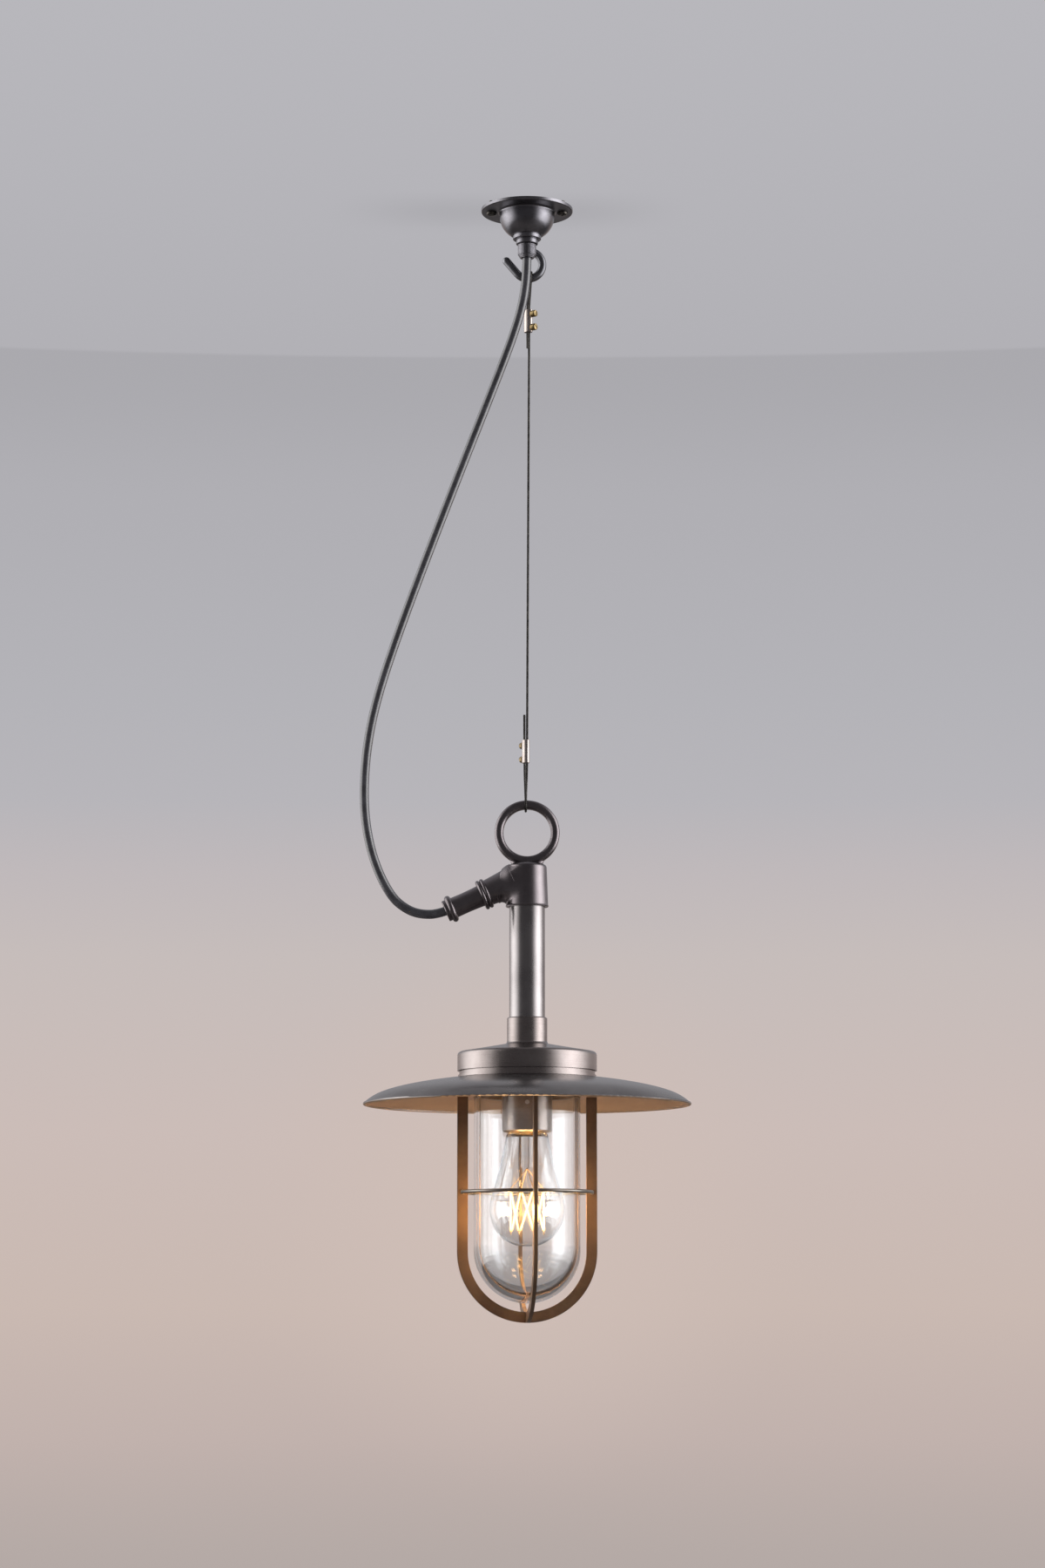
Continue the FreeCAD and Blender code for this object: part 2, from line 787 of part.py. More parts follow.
# The flex's route, chosen by hand from the photograph, ends inside the two glands that hold it.
def flex():
    points = [
        Vector(0, 0, rose_thread_low_z + overrun),
        Vector(0, 0, -51.5),
        Vector(-3, 0, -77.5),
        Vector(-10.5, 0, -104.5),
        Vector(-24.2, 0.4, -141.5),
        Vector(-51.4, 1.4, -211.5),
        Vector(-84.9, 3.5, -299.5),
        Vector(-115.2, 6.5, -384),
        Vector(-127.5, 8.8, -432),
        Vector(-131.5, 10.6, -474),
        Vector(-130, 12, -507.5),
        Vector(-122.5, 13.2, -539),
        Vector(-109.5, 14.2, -565),
        Vector(-97, 14.7, -575.5),
        Vector(-85, 14.9, -579.7),
        arm_point(nut_end + flex_out),
        arm_point(nut_end - flex_in),
    ]
    return round_bar(points, flex_r)


# The ring stands on its edge, with rounded sides.
def suspension_ring():
    ring = sleeve(ring_out_r, ring_in_r, -ring_depth / 2, ring_depth / 2)
    ring = ring.makeFillet(ring_round, [e for e in ring.Edges if e.isClosed()])
    ring.rotate(Vector(0, 0, 0), Vector(1, 0, 0), quarter_turn)
    return moved(ring, 0, 0, ring_z)


# A flared web that runs from the ring's flanks out to the socket's flat top.
def ring_neck():
    ovals = []
    for wide, deep, high in neck_flare_shares:
        oval = Part.Ellipse(Vector(0, 0, 0), neck_w * wide, ring_depth * deep)
        ovals.append(moved(Part.Wire(oval.toShape()), 0, 0, socket_top_z + ring_out_r * high))
    eye = Part.makeCylinder(ring_r, neck_w, Vector(0, neck_w / 2, ring_z), Vector(0, -1, 0))
    return Part.makeLoft(ovals, True, False).cut(eye)


def socket_outside():
    top_round = corner(socket_top_r - socket_round, socket_top_z - socket_round, socket_round, 1, 1)
    return turned(
        (0, socket_top_z),
        (socket_top_r - socket_round, socket_top_z),
        (top_round, (socket_top_r, socket_top_z - socket_round)),
        (socket_low_r, socket_low_z + socket_lip * 2),
        (socket_low_r + socket_lip / 2, socket_low_z + socket_lip),
        (socket_low_r, socket_low_z),
        (0, socket_low_z),
    )


def bead(start, r, foot_r, width):
    return turned(
        (0, start),
        (foot_r, start),
        ((r, start + width / 2), (foot_r, start + width)),
        (0, start + width),
    )


def arm_outside():
    arm = turned(
        (0, arm_root),
        (arm_root_r, arm_root),
        (arm_flare_r, arm_flare_at),
        (arm_flare_mid, (arm_taper_r, arm_taper_start)),
        (arm_end_r, arm_len),
        (0, arm_len),
    )
    return arm.fuse(bead(arm_len, bead_r, bead_foot_r, bead_w)).removeSplitter()


# The lines where the arm leaves the socket's side, which the casting blends.
def arm_root_edges(head):
    picked = []
    for edge in head.Edges:
        box = edge.BoundBox
        beside = box.XMax < 0 and box.Center.x > -socket_low_r
        below = box.Center.z < socket_top_z - socket_round
        if beside and below and isinstance(edge.Curve, Part.BSplineCurve):
            picked.append(edge)
    return picked


# The cast head: eye, neck, tube socket and angled arm blended into one piece, then bored.
def ring_head():
    arm = on_arm(arm_outside())
    arm.translate(Vector(0, -hang_y, 0))
    head = suspension_ring().fuse([ring_neck(), socket_outside()])
    head = head.fuse(arm)
    head = head.makeFillet(arm_blend, arm_root_edges(head))
    head = head.cut(rod(tube_r + slip, socket_low_z - overrun, tube_top_z + slip))
    cavity_r = tube_r - tube_wall
    cavity_top = tube_top_z + socket_cavity_len
    dome = corner(cavity_r - socket_round, cavity_top - socket_round, socket_round, 1, 1)
    cavity = turned(
        (0, tube_top_z),
        (cavity_r, tube_top_z),
        (cavity_r, cavity_top - socket_round),
        (dome, (cavity_r - socket_round, cavity_top)),
        (0, cavity_top),
    )
    head = head.cut(cavity)
    bores = rod(arm_bore_r, 0, bead_end).fuse(
        rod(gland_spigot_r + slip, bead_end - gland_spigot_len - slip, bead_end + overrun))
    bores = on_arm(bores)
    bores.translate(Vector(0, -hang_y, 0))
    head = head.cut(bores)
    grub_z = socket_low_z + tube_seat / 2
    hole = Part.makeCylinder(grub_r, socket_low_r * 2, Vector(0, 0, grub_z), Vector(0, 1, 0))
    return on_lamp(head.cut(hole))


def gland_body():
    first = bead_end
    return on_arm(turned(
        (gland_bore_r, first - gland_spigot_len),
        (gland_spigot_r, first - gland_spigot_len),
        (gland_spigot_r, first),
        (bead_foot_r, first),
        ((bead_r, first + bead_w / 2), (bead_foot_r, barrel_start)),
        (barrel_r, barrel_start),
        ((barrel_waist_r, (barrel_start + barrel_end) / 2), (barrel_end_r, barrel_end)),
        (gland_thread_r, barrel_end),
        (gland_thread_r, thread_end),
        (seal_r + slip, thread_end),
        (seal_r + slip, seal_start - slip),
        (gland_bore_r, seal_start - slip),
    ))


def gland_seal():
    return on_arm(sleeve(seal_r, flex_r + flex_fit, seal_start, thread_end + slip))


def gland_nut():
    first = barrel_end + slip
    disc = first + nut_bead_w
    inside = thread_end + slip + slip
    return on_arm(turned(
        (gland_thread_r + slip, first),
        (nut_foot_r, first),
        ((nut_bead_r, first + nut_bead_w / 2), (nut_foot_r, disc)),
        (nut_disc_r, disc),
        (nut_disc_r, nut_end - nut_edge),
        (nut_disc_r - nut_edge, nut_end),
        (flex_r + running, nut_end),
        (flex_r + running, inside),
        (gland_thread_r + slip, inside),
    ))


def stem_tube():
    return on_lamp(sleeve(tube_r, tube_r - tube_wall, boss_floor_z + slip, tube_top_z))


# Cores from the gland up the arm, down the tube and through the nipple to the lampholder.
def lamp_wires():
    wires = []
    for place in (-1, 0, 1):
        back = place * core_pitch
        y = hang_y + back
        points = [arm_point(nut_end - flex_in - slip, back)]
        points += [Vector(x, y, arm_z + z) for x, z in core_route]
        points.append(Vector(0, y, insert_top_z + slip))
        wires.append(round_bar(points, core_r))
    return Part.makeCompound(wires)


def stem_boss():
    out, up = boss_foot_shares
    foot = (boss_r + (boss_foot_r - boss_r) * out, cap_top_z + boss_foot_h * up)
    body = turned(
        (tube_r + slip, boss_top_z),
        (boss_r - boss_edge, boss_top_z),
        (boss_r, boss_top_z - boss_edge),
        (boss_r, cap_top_z + boss_foot_h),
        (foot, (boss_foot_r, cap_top_z)),
        (boss_thread_r, cap_top_z),
        (boss_thread_r, boss_low_z),
        (nipple_r + slip, boss_low_z),
        (nipple_r + slip, boss_floor_z),
        (tube_r + slip, boss_floor_z),
    )
    grub_z = boss_top_z - tube_seat / 2
    hole = Part.makeCylinder(grub_r, boss_r * 2, Vector(0, 0, grub_z), Vector(0, 1, 0))
    return on_lamp(body.cut(hole))


def boss_nut():
    high = cap_roof_low_z
    return on_lamp(hexagon(boss_nut_r * math.sqrt(3), high - boss_nut_t, high, boss_thread_r + slip))


# One screw through the back of each socket, tight against the tube.
def grub_screws():
    screws = []
    for z in (socket_low_z + tube_seat / 2, boss_top_z - tube_seat / 2):
        screws.append(Part.makeCylinder(grub_r - slip, grub_len, Vector(0, tube_r, z), Vector(0, 1, 0)))
    return on_lamp(Part.makeCompound(screws))


# A shallow cast cap with a rounded shoulder, and a threaded spigot inside its wall.
def cap():
    fall_z = cap_top_z - cap_fall
    crown_r = cap_r - cap_corner
    mid = (crown_r * cap_crown_shares[0], cap_top_z - cap_fall * cap_crown_shares[1])
    shoulder = corner(crown_r, fall_z - cap_corner, cap_corner, 1, 1)
    inside_r = cap_r - cap_wall
    ledge_z = cap_low_z + cap_ledge_t
    return on_lamp(turned(
        (boss_thread_r + slip, cap_top_z),
        (boss_foot_r + boss_edge, cap_top_z),
        (mid, (crown_r, fall_z)),
        (shoulder, (cap_r, fall_z - cap_corner)),
        (cap_r, cap_low_z),
        (spigot_r, cap_low_z),
        (spigot_r, spigot_low_z),
        (spigot_in_r, spigot_low_z),
        (spigot_in_r, ledge_z),
        (inside_r - cap_corner, ledge_z),
        (inside_r - cap_corner, fall_z - cap_roof_t),
        ((mid[0], mid[1] - cap_roof_t), (boss_foot_r + boss_edge, cap_roof_low_z)),
        (boss_thread_r + slip, cap_roof_low_z),
    ))


def screw_places():
    step = full_turn / visor_screws
    return [step * i + visor_screw_phase for i in range(visor_screws)]


def visor_screw_cutter(r, head_r):
    shank = rod(r, visor_top_z - visor_t, visor_top_z + visor_screw_len)
    under_z = visor_top_z - visor_t
    head = turned((0, under_z), (head_r, under_z), (r, visor_top_z), (0, visor_top_z))
    return shank.fuse(head)


def collar_ring():
    tier_z = collar_top_z - collar_groove - collar_tier_h
    low_round = corner(collar_r - collar_round, collar_low_z + collar_round, collar_round, 1, -1)
    collar = turned(
        (collar_in_r, collar_top_z),
        (collar_groove_r, collar_top_z),
        (collar_groove_r, collar_top_z - collar_groove),
        (collar_tier_r, collar_top_z - collar_groove),
        (collar_tier_r, tier_z),
        (collar_r, tier_z),
        (collar_r, collar_low_z + collar_round),
        (low_round, (collar_r - collar_round, collar_low_z)),
        (collar_in_r, collar_low_z),
    )
    for angle in screw_places():
        hole = rod(visor_screw_r + slip / 2, collar_low_z - overrun, collar_low_z + visor_screw_len)
        collar = collar.cut(turn_about_z(moved(hole, screw_radius_mid, 0), angle))
    return on_lamp(collar)


# The sheet's upper line is a smooth curve; the under line keeps the sheet's thickness square to it.
def visor():
    span = visor_r - visor_flat_r
    shares = ((0, 0),) + visor_curve_shares + ((1, 1),)
    top = [Vector(visor_flat_r + span * out, 0, visor_top_z - visor_drop * down) for out, down in shares]
    upper = Part.BSplineCurve()
    upper.interpolate(Points=top, InitialTangent=Vector(1, 0, 0), FinalTangent=Vector(1, 0, -1))
    under = []
    for point in top:
        along = upper.tangent(upper.parameter(point))[0]
        under.append(point + Vector(along.z, 0, -along.x) * visor_t)
    lower = Part.BSplineCurve()
    lower.interpolate(Points=under, InitialTangent=Vector(1, 0, 0), FinalTangent=Vector(1, 0, -1))
    hole = Vector(collar_in_r, 0, visor_top_z)
    hole_low = Vector(collar_in_r, 0, visor_top_z - visor_t)
    edges = [
        Part.LineSegment(hole, top[0]).toShape(),
        upper.toShape(),
        Part.LineSegment(top[-1], under[-1]).toShape(),
        lower.toShape(),
        Part.LineSegment(under[0], hole_low).toShape(),
        Part.LineSegment(hole_low, hole).toShape(),
    ]
    sheet = spin(Part.Face(Part.Wire(Part.sortEdges(edges)[0])))
    rim = (top[-1] + under[-1]) * 0.5
    sheet = sheet.fuse(Part.makeTorus(rim.x, visor_bead_r, Vector(0, 0, rim.z)))
    for angle in screw_places():
        hole = moved(visor_screw_cutter(visor_screw_r + slip / 2, visor_head_r + slip), screw_radius_mid, 0)
        sheet = sheet.cut(turn_about_z(hole, angle))
    return on_lamp(sheet)


def visor_screw_set():
    screws = []
    for angle in screw_places():
        screw = moved(visor_screw_cutter(visor_screw_r, visor_head_r), screw_radius_mid, 0)
        screws.append(turn_about_z(screw, angle))
    return on_lamp(Part.makeCompound(screws))


# Screws onto the cap's spigot and carries the glass on an inner ledge.
def guard_ring():
    ledge_r = glass_r + ledge_gap
    inside_r = spigot_r + slip + slip
    return on_lamp(turned(
        (inside_r, guard_top_z),
        (guard_r, guard_top_z),
        (guard_r, guard_low_z),
        (ledge_r, guard_low_z),
        (ledge_r, ledge_top_z),
        (inside_r, ledge_top_z),
    ))


# One strap: down one side, round under the glass and up the other.
def guard_strap(angle):
    outer = guard_r
    inner = guard_r - rib_depth
    strap = section(
        (-outer, guard_low_z),
        (-outer, rib_centre_z),
        ((0, rib_centre_z - outer), (outer, rib_centre_z)),
        (outer, guard_low_z),
        (inner, guard_low_z),
        (inner, rib_centre_z),
        ((0, rib_centre_z - inner), (-inner, rib_centre_z)),
        (-inner, guard_low_z),
    ).extrude(Vector(0, rib_w, 0))
    return turn_about_z(moved(strap, 0, -rib_w / 2), angle)


def hoop_ring(wire_r):
    return Part.makeTorus(guard_r - hoop_inset, wire_r, Vector(0, 0, guard_low_z - hoop_drop))


def guard_ribs():
    ribs = guard_strap(rib_turn).fuse(guard_strap(rib_turn + quarter_turn)).removeSplitter()
    return on_lamp(ribs.cut(hoop_ring(hoop_wire_r + slip / 2)))


def guard_hoop():
    return on_lamp(hoop_ring(hoop_wire_r))


# Thick glass with a rounded end, thicker still at its lowest point.
def well_glass():
    outside = corner(0, glass_centre_z, glass_r, 1, -1)
    inside = corner(0, glass_in_centre_z, glass_in_r, 1, -1)
    return on_lamp(turned(
        (glass_in_r, glass_top_z),
        (glass_flange_r, glass_top_z),
        (glass_flange_r, glass_top_z - glass_flange_t),
        (glass_r, glass_top_z - glass_flange_t),
        (glass_r, glass_centre_z),
        (outside, (0, glass_low_z)),
        (0, glass_low_z + glass_base),
        (inside, (glass_in_r, glass_in_centre_z)),
    ))


def glass_gasket():
    return on_lamp(sleeve(glass_flange_r, spigot_in_r, glass_top_z, glass_top_z + gasket_t))


def holder_nipple():
    return on_lamp(sleeve(nipple_r, nipple_bore_r, holder_top_z - nipple_grip, cap_top_z))


def nipple_nuts():
    above = hexagon(nipple_nut_flats, holder_top_z, holder_top_z + nipple_nut_t, nipple_r + slip)
    under_z = holder_top_z - holder_wall
    below = hexagon(nipple_nut_flats, under_z - nipple_nut_t, under_z, nipple_r + slip)
    return on_lamp(Part.makeCompound([above, below]))


# Drawn brass shell with a rounded shoulder and a lip turned in at the mouth.
def lampholder_shell():
    inner = holder_r - holder_wall
    shoulder_z = holder_top_z - holder_shoulder
    rise = holder_top_z - shoulder_z
    out = holder_r - holder_top_r
    bend = (holder_top_r + out * math.sqrt(0.5), shoulder_z + rise * math.sqrt(0.5))
    bend_in = (bend[0] - holder_wall * math.sqrt(0.5), bend[1] - holder_wall * math.sqrt(0.5))
    shell = turned(
        (nipple_r + slip, holder_top_z),
        (holder_top_r, holder_top_z),
        (bend, (holder_r, shoulder_z)),
        (holder_r, holder_low_z + holder_lip_h),
        (holder_lip_r + holder_wall, holder_low_z),
        (holder_lip_r, holder_low_z),
        (holder_lip_r, holder_low_z + holder_wall),
        (inner, holder_low_z + holder_lip_h + holder_wall),
        (inner, shoulder_z),
        (bend_in, (holder_top_r, holder_top_z - holder_wall)),
        (nipple_r + slip, holder_top_z - holder_wall),
    )
    return on_lamp(shell.cut(holder_screw_shape(holder_screw_r + slip / 2)))


def holder_screw_shape(r):
    z = holder_low_z + holder_screw_rise
    start = Vector(0, -holder_r - slip, z)
    return Part.makeCylinder(r, holder_screw_len, start, Vector(0, 1, 0))


def lampholder_screw():
    z = holder_low_z + holder_screw_rise
    start = Vector(0, -holder_r - holder_screw_head_h, z)
    head = Part.makeCylinder(holder_screw_head_r, holder_screw_head_h, start, Vector(0, 1, 0))
    return on_lamp(head.fuse(holder_screw_shape(holder_screw_r)))


def lampholder_insert():
    r = holder_r - holder_wall - slip
    floor_z = insert_top_z - insert_floor
    insert = turned(
        (0, insert_top_z),
        (r, insert_top_z),
        (r, insert_low_z),
        (insert_bore_r, insert_low_z),
        (insert_bore_r, floor_z),
        (0, floor_z),
    )
    return on_lamp(insert.cut(holder_screw_shape(holder_screw_r + slip / 2)))


# Screw shell for the bulb, flanged at the mouth where it shows as a bright ring.
def lampholder_thread():
    r = insert_bore_r - slip
    return on_lamp(turned(
        (r - shell_wall, shell_top_z),
        (r, shell_top_z),
        (r, insert_low_z - slip),
        (shell_flange_r, insert_low_z - slip),
        (shell_flange_r, shell_low_z),
        (r - shell_wall, shell_low_z),
    ))


def lampholder_contact():
    top = insert_top_z - insert_floor
    post = rod(contact_r, top - contact_t, top)
    finger = rod(contact_r / 2, bulb_contact_top_z + slip, top - contact_t)
    return on_lamp(post.fuse(finger))


def bulb_cap():
    r = bulb_cap_r
    inner = r - bulb_cap_wall
    cone_top = bulb_cap_top_z + bulb_cone_len
    return on_lamp(turned(
        (inner, bulb_cap_low_z),
        (r, bulb_cap_low_z),
        (r, bulb_cap_top_z),
        (bulb_cone_r, cone_top),
        (bulb_cone_r, cone_top - bulb_cap_wall),
        (inner - bulb_cap_wall, bulb_cap_top_z - bulb_cap_wall),
        (inner, bulb_cap_top_z - bulb_cap_wall * 2),
    ))


def bulb_insulator():
    cone_top = bulb_cap_top_z + bulb_cone_len
    low = cone_top - bulb_insulator_t
    r = bulb_cone_r - slip
    high = cone_top + bulb_contact_h / 2
    return on_lamp(turned(
        (0, low),
        (r - bulb_cap_wall, low),
        (r, cone_top - bulb_cap_wall),
        (r, cone_top),
        (bulb_contact_r, high),
        (0, high),
    ))


def bulb_contact():
    return on_lamp(rod(bulb_contact_r, bulb_contact_top_z - bulb_contact_h / 2, bulb_contact_top_z))


# Outline of the bulb's glass, drawn inward by a wall thickness for the inner surface.
def bulb_outline(inset):
    angle = math.radians(bulb_tangent_angle)
    r = bulb_r - inset
    side = (r * math.cos(angle), bulb_centre_z + r * math.sin(angle))
    shoulder = (bulb_shoulder_r - inset, bulb_neck_low_z - bulb_shoulder_h)
    neck = (bulb_neck_r - inset, bulb_neck_low_z - inset)
    out, down = bulb_bend_share, 1 - bulb_bend_share
    bend = (neck[0] + (shoulder[0] - neck[0]) * out, neck[1] + (shoulder[1] - neck[1]) * down)
    middle = ((shoulder[0] + side[0]) / 2 + bulb_side_bulge, (shoulder[1] + side[1]) / 2)
    belly = corner(0, bulb_centre_z, r, 1, -1)
    return neck, bend, shoulder, middle, side, belly, (0, bulb_low_z + inset)


def bulb_glass():
    neck, bend, shoulder, middle, side, belly, pole = bulb_outline(0)
    neck_in, bend_in, shoulder_in, middle_in, side_in, belly_in, pole_in = bulb_outline(bulb_wall)
    top_z = bulb_neck_low_z + bulb_neck_in
    return on_lamp(turned(
        (neck_in[0], top_z),
        (neck[0], top_z),
        neck,
        (bend, shoulder),
        (middle, side),
        (belly, pole),
        pole_in,
        (belly_in, side_in),
        (middle_in, shoulder_in),
        (bend_in, neck_in),
    ))


# Glass stem, flared at the neck where it joins the bulb's wall.
def bulb_stem():
    top = bulb_neck_low_z + bulb_neck_in - slip
    flare_r = bulb_neck_r - bulb_wall - slip
    return on_lamp(turned(
        (0, top),
        (flare_r, top),
        (stem_r, top - stem_flare_h),
        (stem_r, bulb_neck_low_z - stem_len),
        (0, bulb_neck_low_z - stem_len),
    ))


def crown_point(place, r, drop):
    angle = math.radians(filament_phase + place * full_turn / filaments)
    return Vector(r * math.cos(angle), hang_y + r * math.sin(angle), holder_low_z - drop)


def straight_bar(start, end, r):
    return Part.makeCylinder(r, (end - start).Length, start, end - start)


# Filaments run up and down round the crown, each meeting its neighbour at a wire joint.
def crown_ends():
    ends = []
    for place in range(filaments):
        at_top = place if place % 2 == 0 else place + 1
        at_low = place + 1 if place % 2 == 0 else place
        ends.append((crown_point(at_top, filament_top_r, filament_top_drop),
                     crown_point(at_low, filament_low_r, filament_low_drop)))
    return ends


def bulb_filaments():
    bars = []
    for top, low in crown_ends():
        along = (low - top).normalize()
        bars.append(straight_bar(top + along * filament_gap, low - along * filament_gap, filament_r))
    return Part.makeCompound(bars)


# Support wires run from the stem to the upper joints, and short links lead from each joint to its bars.
def bulb_wires():
    root = Vector(0, hang_y, bulb_neck_low_z - stem_len - wire_r)
    upper = []
    lower = []
    for place in range(0, filaments, 2):
        top = crown_point(place, filament_top_r, filament_top_drop)
        upper += [straight_bar(root, top, wire_r), Part.makeSphere(joint_r, top)]
        low = crown_point(place + 1, filament_low_r, filament_low_drop)
        lower.append(Part.makeSphere(joint_r, low))
    for top, low in crown_ends():
        link = (low - top).normalize() * (filament_gap - slip)
        upper.append(straight_bar(top, top + link, wire_r))
        lower.append(straight_bar(low, low - link, wire_r))
    return Part.makeCompound([upper[0].fuse(upper[1:])] + lower[0].fuse(lower[1:]).Solids)


os.makedirs("parts", exist_ok=True)

save("ceiling_rose", ceiling_rose())
save("rose_backplate", backplate())
save("ceiling_screws", ceiling_screws())
save("rose_gland_body", rose_gland_body())
save("rose_gland_seal", rose_gland_seal())
save("rose_gland_nut", rose_gland_nut())
save("rose_locknut", rose_locknut())
save("terminal_block", terminal_block())
save("terminal_screws", terminal_screws())
save("rose_wires", rose_wires())
save("suspension_hook", suspension_hook())
save("hook_nut", hook_nut())

save("suspension_rope", suspension_rope())
save("upper_rope_clamp", on_upper_clamp(clamp_barrel()))
save("upper_clamp_screws", on_upper_clamp(clamp_screws()))
save("lower_rope_clamp", on_lower_clamp(clamp_barrel()))
save("lower_clamp_screws", on_lower_clamp(clamp_screws()))
save("flex", flex())

save("ring_head", ring_head())
save("gland_body", gland_body())
save("gland_seal", gland_seal())
save("gland_nut", gland_nut())
save("stem_tube", stem_tube())
save("lamp_wires", lamp_wires())
save("stem_boss", stem_boss())
save("boss_nut", boss_nut())
save("grub_screws", grub_screws())
save("cap", cap())
save("collar_ring", collar_ring())
save("visor", visor())
save("visor_screws", visor_screw_set())
save("holder_nipple", holder_nipple())
save("nipple_nuts", nipple_nuts())
save("lampholder_shell", lampholder_shell())
save("lampholder_insert", lampholder_insert())
save("lampholder_thread", lampholder_thread())
save("lampholder_contact", lampholder_contact())
save("lampholder_screw", lampholder_screw())

save("well_glass", well_glass())
save("glass_gasket", glass_gasket())

save("guard_ring", guard_ring())
save("guard_ribs", guard_ribs())
save("guard_hoop", guard_hoop())

save("bulb_glass", bulb_glass())
save("bulb_cap", bulb_cap())
save("bulb_insulator", bulb_insulator())
save("bulb_contact", bulb_contact())
save("bulb_stem", bulb_stem())
save("bulb_filaments", bulb_filaments())
save("bulb_wires", bulb_wires())
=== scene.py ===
import math

import bmesh
import bpy
from mathutils import Matrix, Vector


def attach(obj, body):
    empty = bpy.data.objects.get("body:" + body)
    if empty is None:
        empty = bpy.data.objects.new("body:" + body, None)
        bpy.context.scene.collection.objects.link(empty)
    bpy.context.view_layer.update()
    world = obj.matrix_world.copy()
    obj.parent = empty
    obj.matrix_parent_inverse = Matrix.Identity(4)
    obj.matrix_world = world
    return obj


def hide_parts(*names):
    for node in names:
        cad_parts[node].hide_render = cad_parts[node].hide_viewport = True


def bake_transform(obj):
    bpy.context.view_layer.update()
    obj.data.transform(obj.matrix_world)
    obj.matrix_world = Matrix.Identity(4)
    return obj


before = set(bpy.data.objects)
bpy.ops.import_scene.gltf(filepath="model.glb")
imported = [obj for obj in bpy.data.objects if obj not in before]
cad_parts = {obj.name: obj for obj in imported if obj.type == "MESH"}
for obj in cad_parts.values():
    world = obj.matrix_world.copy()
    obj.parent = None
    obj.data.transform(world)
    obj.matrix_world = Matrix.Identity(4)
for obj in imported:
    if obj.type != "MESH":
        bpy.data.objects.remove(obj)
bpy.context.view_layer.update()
print("stage 1: frame loaded,", len(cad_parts), "nodes")

mm = 0.001
lampY = 15                                     # mm: the lamp hangs in the line x 0, y 15, the rose is at 0, 0
lampAxis = (0.0, lampY * mm)
noiseMiddle = 0.5                              # a noise runs from 0 to 1 about this


# Shader maths: a socket that can be added, multiplied and so on.

class Wire:
    def __init__(self, bench, socket):
        self.bench = bench
        self.socket = socket

    def maths(self, operation, first, second=0.0):
        return self.bench.node("ShaderNodeMath", {"operation": operation}, {0: first, 1: second})

    def __add__(self, other):
        return self.maths("ADD", self, other)

    def __radd__(self, other):
        return self.maths("ADD", other, self)

    def __sub__(self, other):
        return self.maths("SUBTRACT", self, other)

    def __rsub__(self, other):
        return self.maths("SUBTRACT", other, self)

    def __mul__(self, other):
        return self.maths("MULTIPLY", self, other)

    def __pow__(self, other):
        return self.maths("POWER", self, other)

    def __abs__(self):
        return self.maths("ABSOLUTE", self)

    def sine(self):
        return self.maths("SINE", self)

    def turnFrom(self, ahead):                 # the angle off the line ahead, in radians
        return self.maths("ARCTAN2", self, ahead)

    def ease(self, low, high):                 # 0 at low, 1 at high, smooth between and flat outside
        return self.bench.node("ShaderNodeMapRange", {"interpolation_type": "SMOOTHSTEP"},
                               {"Value": self, "From Min": low, "From Max": high})


class Bench:
    def __init__(self, owner):
        owner.use_nodes = True
        self.tree = owner.node_tree
        self.tree.nodes.clear()

    def node(self, kind, settings=None, sockets=None, out=0):
        made = self.tree.nodes.new(kind)
        for key, value in (settings or {}).items():
            if key == "stops":
                for stop in range(2, len(value)):
                    made.color_ramp.elements.new(stop / len(value))
                for element, (position, colour) in zip(made.color_ramp.elements, value):
                    element.position = position
                    element.color = opaque(colour)
            else:
                setattr(made, key, value)
        for key, value in (sockets or {}).items():
            if isinstance(value, Wire):
                self.tree.links.new(value.socket, made.inputs[key])
            else:
                made.inputs[key].default_value = value
        return Wire(self, made.outputs[out])

    def axes(self, vector):
        apart = self.node("ShaderNodeSeparateXYZ", {}, {"Vector": vector})
        return [Wire(self, output) for output in apart.socket.node.outputs]

    def blend(self, share, first, second):
        return self.node("ShaderNodeMix", {"data_type": "RGBA"}, {0: share, 6: first, 7: second}, out=2)

    def noise(self, vector, scale, detail, rough):
        return self.node("ShaderNodeTexNoise", {},
                         {"Vector": vector, "Scale": scale, "Detail": detail, "Roughness": rough})

    def bump(self, strength, depth, height):
        return self.node("ShaderNodeBump", {}, {"Strength": strength, "Distance": depth, "Height": height})

    def finish(self, shader, owner="ShaderNodeOutputMaterial"):
        end = self.tree.nodes.new(owner)
        self.tree.links.new(shader.socket, end.inputs["Surface"])


def opaque(colour):
    return (*colour, 1.0)


# Metals: mottled patina, turning or draw lines, and a little unevenness in the gloss. The visor's side that
# faces down is dull, and its warm colour is a painted glow of the lamp's light. The ribs beside the lamp
# have a painted brown glow of its light, more on the left than on the right, and the back rib is made darker.

# painted glow: the visor's down-facing side takes a warm colour that stands in for the lamp's light; it is
# also rougher and less metallic
dullUnderSideWithPaintedGlow = {"colour": (0.235, 0.172, 0.130), "facing": (0.1, 0.5), "rough": 0.24, "lessMetal": 0.6}
# painted light: a brown glow of the lamp on the ribs near its height, less on the right; the back rib is made
# darker
guardPaintedGlowAndBackDark = {
    "paintedGlow": (0.28, 0.160, 0.080), "z": -0.813, "reach": (0.008, 0.076), "least": 0.7, "patinaShare": 0.3,
    "right": (0.0, 0.05), "rightLess": 0.45, "backDark": (0.022, 0.015, 0.011), "back": (0.02, 0.045),
    "backDarkShare": 0.8,
}

